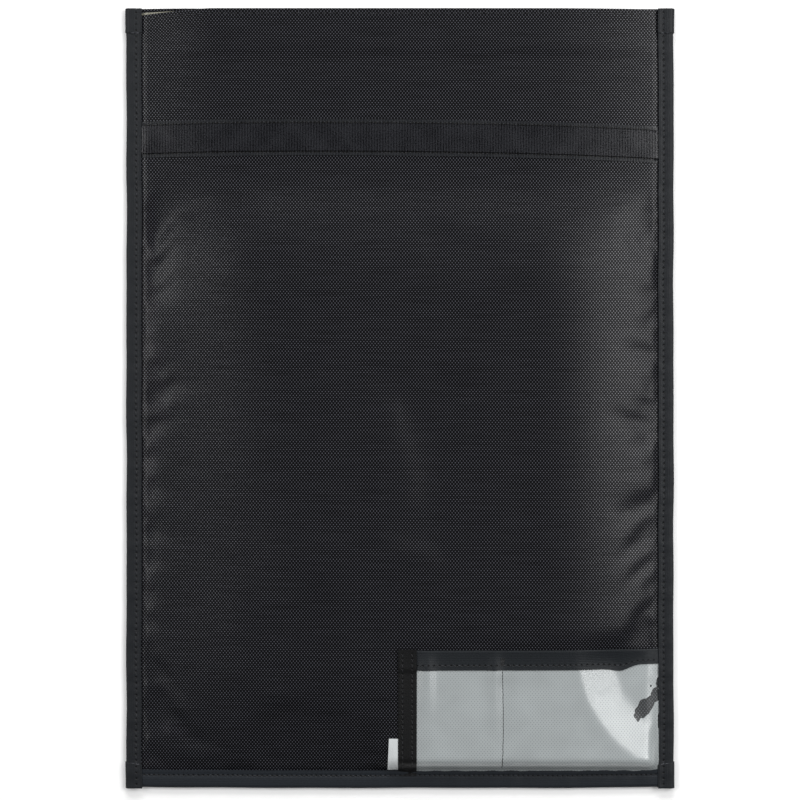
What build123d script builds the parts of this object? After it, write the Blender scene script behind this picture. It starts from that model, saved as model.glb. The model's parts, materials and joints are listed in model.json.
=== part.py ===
from build123d import *
import os

# A fire-resistant storage bag for lithium polymer batteries, empty and lying on its back.
#
# Millimetres. +Z comes up out of the front panel, +Y runs to the mouth, +X is the pocket's side.
# The origin is in the middle of the bag's outline, on the surface it lies on.
#
# The bag is two fabric panels, each with a fire-resistant lining, sewn into folded binding tape
# at the sides and the bottom. To close it, the mouth is folded forwards twice: the lip over the
# upper crease, then the fold band over the lower crease. That lays the hook tape, on the back of
# the lip, onto the loop tape, on the front of the bag. So each layer that crosses a crease is
# three pieces: the bag's, the fold band's and the lip's.

# Outline
BAG_WIDTH = 380.0
BAG_LENGTH = 539.0
PLATEAU = 16.0  # height of the front panel over the battery space
NECK_HEIGHT = 8.0  # height of the front panel from the loop tape to the lip
LIP_HEIGHT = 9.0  # height of the front panel at the open mouth

# Layers
SHELL = 0.8  # coated woven nylon
LINING = 0.5  # glass fibre cloth
FASTENER = 1.2  # hook tape and loop tape
BINDING = 0.8  # one leaf of the binding tape
THREAD = 0.3  # how far a line of stitches stands up
THREAD_WIDTH = 0.8
EDGE_LIFT = 1.2  # how far the pinched edge is held off the surface below

# Bindings
SIDE_BINDING_WIDTH = 11.2
BOTTOM_BINDING_WIDTH = 12.4
STITCH_INSET = 3.5  # from a binding's inner edge to its stitches

# Slopes beside the bindings, and down to the neck
SIDE_MARGIN = 34.0
BOTTOM_MARGIN = 46.0
NECK_SLOPE = 62.0
SLOPE_KNOTS = ((0.0, 0.0), (0.55, 0.7), (1.0, 1.0))  # share of the run, share of the rise

# Closure
FASTENER_WIDTH = 25.0
FASTENER_STITCH_INSET = 2.1
HOOK_BELOW_LIP = 5.0
LOOP_BELOW_LIP = 75.0
LOOP_TO_SLOPE = 7.5  # flat stretch between the loop tape and the slope below it
CREASE_GAP = 0.3  # between the pieces on the two sides of a crease
LIP_RAMP = 5.0  # length over which the lip's back panel rises onto the hook tape
HEM = 12.0  # depth of the panels' turned-in hems

# Card pocket
POCKET_TOP = 96.7  # from the bottom edge
POCKET_LEFT = -1.4
POCKET_TOP_BINDING = 13.8
POCKET_LEFT_BINDING = 12.8
POCKET_DIVIDER = 70.5
POCKET_LEAF = 0.6
POCKET_FILM = 0.4
POCKET_CLEARANCE = 0.1  # between the front panel and the pocket's back leaf
POCKET_FOLD = 0.6  # thickness of the pocket bindings' folded edge
BAR_TACK = (2.4, 5.0)

# Care label
LABEL_WIDTH = 5.9
LABEL_LENGTH = 22.8
LABEL_THICKNESS = 0.3
LABEL_CLEARANCE = 0.35
LABEL_TO_BINDING = 0.7

HALF_WIDTH = BAG_WIDTH / 2
TOP = BAG_LENGTH / 2
BOTTOM = -TOP
SIDE_INNER = HALF_WIDTH - SIDE_BINDING_WIDTH
BOTTOM_INNER = BOTTOM + BOTTOM_BINDING_WIDTH
PANEL_SIDE = HALF_WIDTH - BINDING
PANEL_BOTTOM = BOTTOM + BINDING
WALL = SHELL + LINING
PINCH_TOP = EDGE_LIFT + 2 * WALL
HOOK_TOP_EDGE = TOP - HOOK_BELOW_LIP
LOOP_TOP_EDGE = TOP - LOOP_BELOW_LIP
# The two folds together move the hook tape down by twice the distance between the creases, and
# the lip is as long as the fold band.
FOLD_LENGTH = (LOOP_BELOW_LIP - HOOK_BELOW_LIP) / 2
UPPER_CREASE = TOP - FOLD_LENGTH
LOWER_CREASE = UPPER_CREASE - FOLD_LENGTH
NECK_START = LOOP_TOP_EDGE - FASTENER_WIDTH - LOOP_TO_SLOPE
SLOPE_START = NECK_START - NECK_SLOPE
POCKET_RIGHT = SIDE_INNER
POCKET_TOP_EDGE = BOTTOM + POCKET_TOP
POCKET_TOP_INNER = POCKET_TOP_EDGE - POCKET_TOP_BINDING
POCKET_LEFT_INNER = POCKET_LEFT + POCKET_LEFT_BINDING
FILM_LOW = POCKET_CLEARANCE + POCKET_LEAF
FILM_HIGH = FILM_LOW + POCKET_FILM
POCKET_HIGH = FILM_HIGH + POCKET_LEAF


def between(value, low, high):
    return max(low, min(high, value))


def rise(share):
    """Height share of a slope at a share of its run."""
    share = between(share, 0.0, 1.0)
    for (run_a, rise_a), (run_b, rise_b) in zip(SLOPE_KNOTS, SLOPE_KNOTS[1:]):
        if share <= run_b:
            return rise_a + (rise_b - rise_a) * (share - run_a) / (run_b - run_a)
    return 1.0


def fullness(x):
    """0 in the side bindings, 1 past the side margins."""
    return rise((SIDE_INNER - abs(x)) / SIDE_MARGIN)


def front(x, y):
    """Height of the front panel's outer face."""
    crown = PINCH_TOP + (PLATEAU - PINCH_TOP) * rise((y - BOTTOM_INNER) / BOTTOM_MARGIN)
    crown -= (PLATEAU - NECK_HEIGHT) * (1 - rise((NECK_START - y) / NECK_SLOPE))
    crown += (LIP_HEIGHT - NECK_HEIGHT) * rise((y - UPPER_CREASE) / LIP_RAMP)
    return PINCH_TOP + (crown - PINCH_TOP) * fullness(x)


def back(x, y):
    """Height of the back panel's outer face."""
    on_surface = rise((y - BOTTOM_INNER) / BOTTOM_MARGIN) * (1 - rise((y - UPPER_CREASE) / LIP_RAMP))
    return EDGE_LIFT * (1 - fullness(x) * on_surface)


def above(surface, offset):
    """A height field that lies offset above another."""
    return lambda x, y: surface(x, y) + offset


def stations(low, high, knots):
    """The two ends and every knot between them, in order."""
    return sorted({low, high} | {knot for knot in knots if low < knot < high})


def x_stations(low, high):
    runs = [SIDE_INNER - share * SIDE_MARGIN for share, _ in SLOPE_KNOTS]
    return stations(low, high, [side * run for side in (-1, 1) for run in runs])


def y_stations(low, high):
    bottom = [BOTTOM_INNER + share * BOTTOM_MARGIN for share, _ in SLOPE_KNOTS]
    neck = [NECK_START - share * NECK_SLOPE for share, _ in SLOPE_KNOTS]
    lip = [UPPER_CREASE + share * LIP_RAMP for share, _ in SLOPE_KNOTS]
    return stations(low, high, bottom + neck + lip)


def polygon(points):
    return Face(Wire.make_polygon([Vector(*point) for point in points], close=True))


def patch(corners):
    """One flat face through four corners, or two triangles where they aren't in one plane."""
    twist = corners[0][2] + corners[2][2] - corners[1][2] - corners[3][2]
    if abs(twist) < 1e-9:
        return [polygon(corners)]
    return [polygon(corners[:3]), polygon([corners[0], *corners[2:]])]


def sheet(x_span, y_span, low, high):
    """Closed solid between two height fields, over a rectangle."""
    xs, ys = x_stations(*x_span), y_stations(*y_span)
    faces = []
    for x0, x1 in zip(xs, xs[1:]):
        for y0, y1 in zip(ys, ys[1:]):
            ring = [(x0, y0), (x1, y0), (x1, y1), (x0, y1)]
            for surface in (low, high):
                faces += patch([(x, y, surface(x, y)) for x, y in ring])
    rims = [[(x, y) for x in xs] for y in y_span] + [[(x, y) for y in ys] for x in x_span]
    for rim in rims:
        for (xa, ya), (xb, yb) in zip(rim, rim[1:]):
            wall = [(xa, ya, low(xa, ya)), (xb, yb, low(xb, yb))]
            wall += [(xb, yb, high(xb, yb)), (xa, ya, high(xa, ya))]
            faces.append(polygon(wall))
    return Solid(Shell(faces))


def block(x_span, y_span, z_span):
    """Box between two planes each way."""
    spans = (x_span, y_span, z_span)
    middle = [(low + high) / 2 for low, high in spans]
    return Pos(*middle) * Box(*[high - low for low, high in spans])


# The parts of the bag that the two creases divide, as spans along Y
BAG = (PANEL_BOTTOM, LOWER_CREASE - CREASE_GAP / 2)
FOLD = (LOWER_CREASE + CREASE_GAP / 2, UPPER_CREASE - CREASE_GAP / 2)
LIP = (UPPER_CREASE + CREASE_GAP / 2, TOP)
PANEL = (-PANEL_SIDE, PANEL_SIDE)
INSIDE = (-SIDE_INNER, SIDE_INNER)
OPEN = (SIDE_MARGIN - SIDE_INNER, SIDE_INNER - SIDE_MARGIN)


def front_shell(span):
    return sheet(PANEL, span, above(front, -SHELL), front)


def back_shell(span):
    return sheet(PANEL, span, back, above(back, SHELL))


def front_lining(span):
    return sheet(PANEL, span, above(front, -WALL), above(front, -SHELL))


def back_lining(span):
    return sheet(PANEL, span, above(back, SHELL), above(back, WALL))


def hemmed(shell, lining):
    """A lip panel: the shell's end is turned in over the lining's end."""
    return shell(LIP) + lining((TOP - HEM, TOP))


def side_binding(side, span):
    """Tape folded over the panels' side edges. side is -1 on the left and 1 on the right."""
    edge = sorted((side * SIDE_INNER, side * HALF_WIDTH))
    slot = sorted((side * SIDE_INNER, side * PANEL_SIDE))
    tape = block(edge, span, (EDGE_LIFT - BINDING, PINCH_TOP + BINDING))
    return tape - block(slot, (max(span[0], PANEL_BOTTOM), span[1]), (EDGE_LIFT, PINCH_TOP))


def bottom_binding():
    """Tape folded over the panels' bottom edges, from one side binding to the other."""
    tape = block(INSIDE, (BOTTOM, BOTTOM_INNER), (EDGE_LIFT - BINDING, PINCH_TOP + BINDING))
    return tape - block(INSIDE, (PANEL_BOTTOM, BOTTOM_INNER), (EDGE_LIFT, PINCH_TOP))


def side_stitches(side, span):
    """The line of stitches through a side binding."""
    middle = side * (SIDE_INNER + STITCH_INSET)
    line = (middle - THREAD_WIDTH / 2, middle + THREAD_WIDTH / 2)
    return block(line, span, (PINCH_TOP + BINDING, PINCH_TOP + BINDING + THREAD))


def bottom_stitches():
    middle = BOTTOM_INNER - STITCH_INSET
    line = (middle - THREAD_WIDTH / 2, middle + THREAD_WIDTH / 2)
    return block(INSIDE, line, (PINCH_TOP + BINDING, PINCH_TOP + BINDING + THREAD))


def across_stitches(x_span, middle, low):
    """A line of stitches that runs across the bag, on a height field."""
    line = (middle - THREAD_WIDTH / 2, middle + THREAD_WIDTH / 2)
    return sheet(x_span, line, low, above(low, THREAD))


def along_stitches(middle, y_span, low):
    """A line of stitches that runs along the bag, on a height field."""
    line = (middle - THREAD_WIDTH / 2, middle + THREAD_WIDTH / 2)
    return sheet(line, y_span, low, above(low, THREAD))


def loop_tape():
    return sheet(INSIDE, (LOOP_TOP_EDGE - FASTENER_WIDTH, LOOP_TOP_EDGE), front, above(front, FASTENER))


def hook_tape():
    return sheet(INSIDE, (HOOK_TOP_EDGE - FASTENER_WIDTH, HOOK_TOP_EDGE), above(back, -FASTENER), back)


def fastener_stitches(x_span, top_edge, low):
    """The two lines of stitches just inside a fastener tape's woven edges."""
    upper = top_edge - FASTENER_STITCH_INSET
    lower = top_edge - FASTENER_WIDTH + FASTENER_STITCH_INSET
    return [across_stitches(x_span, middle, low) for middle in (upper, lower)]


def pocket_window():
    """Clear film, sewn under the bag's right and bottom bindings and open at the top."""
    span_x = (POCKET_LEFT + POCKET_FOLD, POCKET_RIGHT)
    span_y = (BOTTOM_INNER, POCKET_TOP_EDGE - POCKET_FOLD)
    return sheet(span_x, span_y, above(front, FILM_LOW), above(front, FILM_HIGH))


def pocket_binding(x_span, y_span):
    """Tape folded over an edge of the film."""
    tape = sheet(x_span, y_span, above(front, POCKET_CLEARANCE), above(front, POCKET_HIGH))
    return tape - pocket_window()


def pocket_top_binding():
    return pocket_binding((POCKET_LEFT_INNER, POCKET_RIGHT), (POCKET_TOP_INNER, POCKET_TOP_EDGE))


def pocket_left_binding():
    return pocket_binding((POCKET_LEFT, POCKET_LEFT_INNER), (BOTTOM_INNER, POCKET_TOP_EDGE))


def pocket_top_stitches():
    middle = POCKET_TOP_INNER + STITCH_INSET
    return across_stitches((POCKET_LEFT_INNER, POCKET_RIGHT), middle, above(front, POCKET_HIGH))


def pocket_left_stitches():
    lines = (POCKET_LEFT + STITCH_INSET, POCKET_LEFT_INNER - STITCH_INSET)
    span = (BOTTOM_INNER, POCKET_TOP_INNER)
    return [along_stitches(x, span, above(front, POCKET_HIGH)) for x in lines]


def pocket_divider():
    """The seam that makes two slots of the pocket, and the bar tack at its top."""
    seam = along_stitches(POCKET_DIVIDER, (BOTTOM_INNER, POCKET_TOP_INNER), above(front, FILM_HIGH))
    width, length = BAR_TACK
    span_x = (POCKET_DIVIDER - width / 2, POCKET_DIVIDER + width / 2)
    span_y = (POCKET_TOP_INNER + 2 * STITCH_INSET, POCKET_TOP_INNER + 2 * STITCH_INSET + length)
    tack = sheet(span_x, span_y, above(front, POCKET_HIGH), above(front, POCKET_HIGH + THREAD))
    return [seam, tack]


def care_label():
    """Blank woven label, sewn in along its right edge beside the pocket's left binding."""
    right = POCKET_LEFT - CREASE_GAP
    low_end = BOTTOM_INNER + LABEL_TO_BINDING
    span_x, span_y = (right - LABEL_WIDTH, right), (low_end, low_end + LABEL_LENGTH)
    return sheet(span_x, span_y, above(front, LABEL_CLEARANCE), above(front, LABEL_CLEARANCE + LABEL_THICKNESS))


nodes = {
    "front_shell": front_shell(BAG),
    "back_shell": back_shell(BAG),
    "front_lining": front_lining(BAG),
    "back_lining": back_lining(BAG),
    "bottom_binding": bottom_binding(),
    "bottom_binding_stitches": bottom_stitches(),
    "loop_tape": loop_tape(),
    "loop_tape_stitches": fastener_stitches(INSIDE, LOOP_TOP_EDGE, above(front, FASTENER)),
    "pocket_window": pocket_window(),
    "pocket_top_binding": pocket_top_binding(),
    "pocket_top_stitches": pocket_top_stitches(),
    "pocket_left_binding": pocket_left_binding(),
    "pocket_left_stitches": pocket_left_stitches(),
    "pocket_divider_seam": pocket_divider(),
    "care_label": care_label(),
    "fold_front_shell": front_shell(FOLD),
    "fold_back_shell": back_shell(FOLD),
    "fold_front_lining": front_lining(FOLD),
    "fold_back_lining": back_lining(FOLD),
    "lip_front_shell": hemmed(front_shell, front_lining),
    "lip_back_shell": hemmed(back_shell, back_lining),
    "lip_front_lining": front_lining((LIP[0], TOP - HEM)),
    "lip_back_lining": back_lining((LIP[0], TOP - HEM)),
    "hook_tape": hook_tape(),
    "hook_tape_stitches": fastener_stitches(OPEN, HOOK_TOP_EDGE, above(back, WALL)),
}
for prefix, binding_span in (("", (BOTTOM, BAG[1])), ("fold_", FOLD), ("lip_", LIP)):
    for side_name, side_sign in (("left", -1), ("right", 1)):
        name = f"{prefix}{side_name}_binding"
        nodes[name] = side_binding(side_sign, binding_span)
        nodes[f"{name}_stitches"] = side_stitches(side_sign, binding_span)

os.makedirs("parts", exist_ok=True)
for name, shape in nodes.items():
    solids = shape if isinstance(shape, list) else [shape]
    export_step(Compound(children=solids), f"parts/{name}.step")
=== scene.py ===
import json
import logging
import math
from dataclasses import dataclass
from enum import Enum
from functools import reduce
from typing import Any, Callable, Optional, Sequence

import bpy
import numpy as np
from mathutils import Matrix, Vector


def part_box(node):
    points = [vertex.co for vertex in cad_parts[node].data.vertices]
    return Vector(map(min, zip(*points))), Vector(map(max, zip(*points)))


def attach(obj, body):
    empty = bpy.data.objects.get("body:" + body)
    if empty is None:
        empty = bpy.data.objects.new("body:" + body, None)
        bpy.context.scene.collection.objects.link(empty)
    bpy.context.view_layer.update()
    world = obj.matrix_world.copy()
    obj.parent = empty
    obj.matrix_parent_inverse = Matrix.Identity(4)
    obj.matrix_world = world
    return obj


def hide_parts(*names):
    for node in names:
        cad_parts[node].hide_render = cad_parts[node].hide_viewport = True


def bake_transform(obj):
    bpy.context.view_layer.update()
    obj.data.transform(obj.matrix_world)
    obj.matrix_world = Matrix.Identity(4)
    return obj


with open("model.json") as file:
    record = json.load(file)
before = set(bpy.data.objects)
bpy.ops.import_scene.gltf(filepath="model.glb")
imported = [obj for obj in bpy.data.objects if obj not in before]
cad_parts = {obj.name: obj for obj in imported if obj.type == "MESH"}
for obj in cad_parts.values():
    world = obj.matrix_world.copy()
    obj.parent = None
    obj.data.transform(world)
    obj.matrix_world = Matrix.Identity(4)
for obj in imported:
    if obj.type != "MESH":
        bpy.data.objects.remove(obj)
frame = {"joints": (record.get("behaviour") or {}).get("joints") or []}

# A fire-resistant storage bag for lithium polymer batteries, empty and lying on its back: two
# fabric panels with linings, sewn into folded binding tape, with a fold-over hook and loop mouth
# and a clear card pocket. Metres, in the frame's own axes: +Y to the mouth, +Z out of the front.

LOG = logging.getLogger("battery_bag")
MM = 0.001
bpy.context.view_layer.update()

Field = Callable[[np.ndarray, np.ndarray], np.ndarray]
Object = bpy.types.Object
Material = bpy.types.Material


class Side(Enum):
    """Which side of the bag a piece is on, as the sign of its X."""

    LEFT = -1
    RIGHT = 1


class Face(Enum):
    """Which panel of the bag a piece belongs to, as the sign of its outward Z."""

    BACK = -1
    FRONT = 1


class Half(Enum):
    """Which crease a piece of cloth crosses."""

    LOWER = "lower"
    UPPER = "upper"


# ---------------------------------------------------------------------------------------------
# Measures from the frame
# ---------------------------------------------------------------------------------------------


@dataclass(frozen=True)
class Crease:
    """A line across the bag that the mouth folds over.

    Attributes:
        y: Its place along the bag.
        below: The body on its bottom side; not used.
        above: The body on its mouth side; not used.
        reach: Half the length of cloth that turns over it.
    """

    y: float
    below: str
    above: str
    reach: float = 4.5 * MM

    def bend(self, piece: Object) -> None:
        """Bakes a piece's transform into its mesh; the piece is not turned over this crease."""
        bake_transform(piece)


@dataclass(frozen=True)
class Layout:
    """The bag's main lines, read from the frame.

    Attributes:
        half_width: From the middle to the side edges.
        top: The mouth's edge.
        bottom: The bottom edge.
        side_inner: From the middle to the side bindings' inner edges.
        bottom_inner: The bottom binding's inner edge.
        plateau: The front face's height over the battery space.
        neck: Its height in the fold band.
        lip: Its height at the lip.
        lower: The crease between the bag and the fold band.
        upper: The crease between the fold band and the lip.
    """

    half_width: float
    top: float
    bottom: float
    side_inner: float
    bottom_inner: float
    plateau: float
    neck: float
    lip: float
    lower: Crease
    upper: Crease

    @classmethod
    def from_frame(cls) -> "Layout":
        """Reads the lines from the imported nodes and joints.

        Returns:
            The layout.
        """
        joints = {joint["name"]: joint for joint in frame["joints"]}
        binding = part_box("right_binding")
        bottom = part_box("bottom_binding")
        return cls(
            half_width=binding[1][0],
            top=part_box("lip_right_binding")[1][1],
            bottom=bottom[0][1],
            side_inner=binding[0][0],
            bottom_inner=bottom[1][1],
            plateau=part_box("front_shell")[1][2],
            neck=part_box("fold_front_shell")[1][2],
            lip=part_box("lip_front_shell")[1][2],
            lower=Crease(joints["lower_fold"]["pos_m"][1], "bag", "fold_band"),
            upper=Crease(joints["upper_fold"]["pos_m"][1], "fold_band", "lip_band"),
        )

    @property
    def seam(self) -> float:
        """The middle of the fold band, where each panel's two pieces meet."""
        return (self.lower.y + self.upper.y) / 2

    def crease(self, half: Half) -> Crease:
        """The crease that a half crosses."""
        return self.lower if half is Half.LOWER else self.upper


# ---------------------------------------------------------------------------------------------
# Mesh work
# ---------------------------------------------------------------------------------------------


def ease(share: np.ndarray) -> np.ndarray:
    """Smooth step from 0 to 1 as share goes from 0 to 1."""
    share = np.clip(share, 0.0, 1.0)
    return share * share * (3 - 2 * share)


def ripple(along: np.ndarray, lengths: Sequence[float], phase: float) -> np.ndarray:
    """A gentle irregular wave between about -1 and 1.

    Args:
        along: Distances along the wave.
        lengths: The wavelengths that are added up.
        phase: Sets one wave apart from another.

    Returns:
        The wave's value at each distance.
    """
    waves = [np.sin(2 * math.pi * along / length + phase * (i + 1)) for i, length in enumerate(lengths)]
    return sum(waves) / len(waves)


def deselect() -> None:
    """Leaves nothing selected, so that an operator acts only on what comes next."""
    bpy.ops.object.select_all(action="DESELECT")


def activate(obj: Object) -> None:
    """Makes one object the only one selected, and active."""
    deselect()
    obj.select_set(True)
    bpy.context.view_layer.objects.active = obj


def points(obj: Object) -> np.ndarray:
    """The object's vertices, one row each."""
    flat = np.zeros(len(obj.data.vertices) * 3)
    obj.data.vertices.foreach_get("co", flat)
    return flat.reshape(-1, 3)


def place(obj: Object, where: np.ndarray) -> None:
    """Moves the object's vertices to the given rows."""
    obj.data.vertices.foreach_set("co", where.ravel())
    obj.data.update()


def add_grid(name: str, xs: Sequence[float], ys: Sequence[float]) -> Object:
    """Adds a flat grid with its columns and rows at given places, and a UV map in millimetres.

    Args:
        name: The object's name.
        xs: The columns, left to right.
        ys: The rows, bottom to top.

    Returns:
        The grid, facing up.
    """
    deselect()
    bpy.ops.mesh.primitive_grid_add(x_subdivisions=len(xs) - 1, y_subdivisions=len(ys) - 1, size=2)
    grid = bpy.context.active_object
    grid.name = grid.data.name = name
    where = points(grid)
    where[:, 0] = np.asarray(xs)[np.rint((where[:, 0] + 1) / 2 * (len(xs) - 1)).astype(int)]
    where[:, 1] = np.asarray(ys)[np.rint((where[:, 1] + 1) / 2 * (len(ys) - 1)).astype(int)]
    place(grid, where)
    lay_pattern(grid, where[:, :2])
    return grid


def lay_pattern(obj: Object, flat: np.ndarray) -> None:
    """Sets the object's UV map to flat places on the uncut cloth, in millimetres."""
    corners = np.zeros(len(obj.data.loops), int)
    obj.data.loops.foreach_get("vertex_index", corners)
    layer = obj.data.uv_layers.active or obj.data.uv_layers.new(name="UVMap")
    layer.data.foreach_set("uv", (flat[corners] / MM).ravel())


def apply_modifier(obj: Object, kind: str, **settings: Any) -> None:
    """Adds a modifier with its settings and applies it."""
    activate(obj)
    modifier = obj.modifiers.new(kind.title(), kind)
    for name, value in settings.items():
        setattr(modifier, name, value)
    bpy.ops.object.modifier_apply(modifier=modifier.name)


def edit(obj: Object, *steps: Callable[[], Any]) -> None:
    """Runs operators on all of a mesh in edit mode."""
    activate(obj)
    bpy.ops.object.mode_set(mode="EDIT")
    bpy.ops.mesh.select_all(action="SELECT")
    for step in steps:
        step()
    bpy.ops.object.mode_set(mode="OBJECT")


def thicken(obj: Object, thickness: float) -> None:
    """Gives a sheet its thickness, on the side that it doesn't face."""
    apply_modifier(obj, "SOLIDIFY", thickness=thickness, offset=-1.0, use_even_offset=False)


def smooth(obj: Object, degrees: float = 50.0) -> None:
    """Shades the object smooth, apart from edges sharper than an angle."""
    activate(obj)
    bpy.ops.object.shade_smooth_by_angle(angle=math.radians(degrees))


def folded(along: np.ndarray, edge: float, radius: float) -> tuple[np.ndarray, np.ndarray]:
    """Where the points of a strip come to lie once it is folded under at an edge.

    Args:
        along: Each point's distance along the flat strip, on the edge's own scale.
        edge: The furthest place that the fold reaches.
        radius: The fold's outer radius.

    Returns:
        Each point's place along the same scale, and how far it drops under the strip's face.
    """
    past = along - (edge - radius)
    turn = np.clip(past / radius, 0.0, math.pi)
    under = np.maximum(past - math.pi * radius, 0.0)
    place_along = np.where(past < 0, along, edge - radius + radius * np.sin(turn) - under)
    return place_along, radius * (1 - np.cos(turn))


def wrap_stations(leaf: float, radius: float, step: float, turns: int) -> np.ndarray:
    """Stations across a strip folded over an edge: its front leaf, its fold and its back leaf.

    Args:
        leaf: The flat length of each leaf.
        radius: The fold's outer radius.
        step: The distance between two stations on the leaves.
        turns: How many stations the fold has, with its two ends.

    Returns:
        The stations, from the front leaf's edge at zero.
    """
    around = leaf + math.pi * radius
    return np.concatenate([spaced((0.0, leaf), (step,)), np.linspace(leaf, around, turns)[1:-1],
                           spaced((around, around + leaf), (step,))])


def spaced(stops: Sequence[float], steps: Sequence[float]) -> np.ndarray:
    """Places from the first stop to the last, with a step of its own between each two stops."""
    runs = []
    for low, high, step in zip(stops, stops[1:], steps):
        runs.append(np.linspace(low, high, max(1, round((high - low) / step)) + 1)[:-1])
    return np.concatenate([*runs, stops[-1:]])


@dataclass
class HeightField:
    """Heights on a regular grid, read in between with a cubic B-spline, so that it is smooth."""

    corner: tuple[float, float]
    step: tuple[float, float]
    values: np.ndarray

    def __call__(self, x: np.ndarray, y: np.ndarray) -> np.ndarray:
        """The height at each place."""
        total = np.zeros(np.shape(x))
        row, row_weights = self._weights(y, self.corner[1], self.step[1], self.values.shape[0])
        column, column_weights = self._weights(x, self.corner[0], self.step[0], self.values.shape[1])
        for i, row_weight in enumerate(row_weights):
            for j, column_weight in enumerate(column_weights):
                rows = np.clip(row + i - 1, 0, self.values.shape[0] - 1)
                columns = np.clip(column + j - 1, 0, self.values.shape[1] - 1)
                total += row_weight * column_weight * self.values[rows, columns]
        return total

    @staticmethod
    def _weights(at: np.ndarray, start: float, step: float, count: int) -> tuple[np.ndarray, list]:
        """The first index and the four spline weights at each place along one axis."""
        share = np.clip((np.asarray(at) - start) / step, 0, count - 1.001)
        index = np.floor(share).astype(int)
        t = share - index
        weights = [(1 - t) ** 3, 3 * t**3 - 6 * t**2 + 4, -3 * t**3 + 3 * t**2 + 3 * t + 1, t**3]
        return index, [weight / 6 for weight in weights]


def settle(obj: Object, surface: Field) -> None:
    """Lays a piece that was made flat onto a surface, by raising each point by its height."""
    where = points(obj)
    where[:, 2] += surface(where[:, 0], where[:, 1])
    place(obj, where)


def join(name: str, pieces: Sequence[Object]) -> Object:
    """Joins pieces into one object, under a name of its own."""
    activate(pieces[0])
    for piece in pieces:
        piece.select_set(True)
    bpy.ops.object.join()
    joined = bpy.context.active_object
    joined.name = joined.data.name = name
    return joined


# ---------------------------------------------------------------------------------------------
# Materials
# ---------------------------------------------------------------------------------------------


def linear(hex_colour: str) -> tuple[float, float, float, float]:
    """Turns an sRGB hex colour into a linear one.

    Args:
        hex_colour: Six hex digits.

    Returns:
        Red, green, blue and an alpha of 1.
    """
    shares = [int(hex_colour[i : i + 2], 16) / 255 for i in (0, 2, 4)]
    return (*[s / 12.92 if s <= 0.04045 else ((s + 0.055) / 1.055) ** 2.4 for s in shares], 1.0)


def add_node(
    tree: bpy.types.NodeTree,
    kind: str,
    links: Optional[dict] = None,
    values: Optional[dict] = None,
    **settings: Any,
) -> bpy.types.Node:
    """Adds a shader node.

    Args:
        tree: The material's node tree.
        kind: The node's type, without its ShaderNode prefix.
        links: Sockets to link to the node's inputs, by input name or number.
        values: Values to set on the node's inputs, by input name or number.
        **settings: The node's own properties.

    Returns:
        The new node.
    """
    node = tree.nodes.new("ShaderNode" + kind)
    for name, value in settings.items():
        setattr(node, name, value)
    for key, value in (values or {}).items():
        node.inputs[key].default_value = value
    for key, socket in (links or {}).items():
        tree.links.new(socket, node.inputs[key])
    return node


def start_material(name: str) -> tuple[Material, bpy.types.NodeTree, bpy.types.Node]:
    """Makes a material with its Principled shader linked, and returns it, its tree and the shader."""
    material = bpy.data.materials.new(name)
    material.use_nodes = True
    tree = material.node_tree
    tree.nodes.clear()
    shader = add_node(tree, "BsdfPrincipled")
    add_node(tree, "OutputMaterial", links={"Surface": shader.outputs[0]})
    return material, tree, shader


def math_node(tree: bpy.types.NodeTree, operation: str, *terms: Any) -> bpy.types.NodeSocket:
    """Adds a Math node whose terms are sockets or numbers, and returns its output."""
    links = {i: term for i, term in enumerate(terms) if isinstance(term, bpy.types.NodeSocket)}
    values = {i: term for i, term in enumerate(terms) if i not in links}
    return add_node(tree, "Math", links, values, operation=operation).outputs[0]


def noise_node(
    tree: bpy.types.NodeTree, vector: bpy.types.NodeSocket, scale: float, detail: float
) -> bpy.types.NodeSocket:
    """Adds smooth noise, and returns its value."""
    values = {"Scale": scale, "Detail": detail}
    return add_node(tree, "TexNoise", links={"Vector": vector}, values=values).outputs[0]


def remap(
    tree: bpy.types.NodeTree,
    value: bpy.types.NodeSocket,
    span: tuple[float, float],
    to: tuple[float, float] = (0.0, 1.0),
    curve: str = "LINEAR",
) -> bpy.types.NodeSocket:
    """Adds a Map Range node.

    Args:
        tree: The material's node tree.
        value: What it maps.
        span: The values that it maps from.
        to: The values that it maps them to.
        curve: How it goes from one to the other.

    Returns:
        The mapped value's socket.
    """
    values = {1: span[0], 2: span[1], 3: to[0], 4: to[1]}
    return add_node(tree, "MapRange", links={0: value}, values=values, interpolation_type=curve).outputs[0]


def mix_colours(
    tree: bpy.types.NodeTree, share: bpy.types.NodeSocket, low: str, high: str
) -> bpy.types.NodeSocket:
    """Mixes two hex colours by a share, and returns the colour."""
    values = {6: linear(low), 7: linear(high)}
    return add_node(tree, "Mix", links={0: share}, values=values, data_type="RGBA").outputs[2]


def bump_node(
    tree: bpy.types.NodeTree, height: bpy.types.NodeSocket, strength: float, depth_mm: float
) -> bpy.types.NodeSocket:
    """Turns a height into a normal."""
    values = {"Strength": strength, "Distance": depth_mm * MM}
    return add_node(tree, "Bump", links={"Height": height}, values=values).outputs[0]


def sine_node(tree: bpy.types.NodeTree, along: bpy.types.NodeSocket, length: float) -> bpy.types.NodeSocket:
    """Adds a wave of a given length along a coordinate."""
    return math_node(tree, "SINE", math_node(tree, "MULTIPLY", along, 2 * math.pi / length))


def set_shader(shader: bpy.types.Node, links: dict, values: dict) -> None:
    """Links sockets to the shader's inputs, and sets its uniform values."""
    for name, socket in links.items():
        shader.id_data.links.new(socket, shader.inputs[name])
    for name, value in values.items():
        shader.inputs[name].default_value = value


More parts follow.
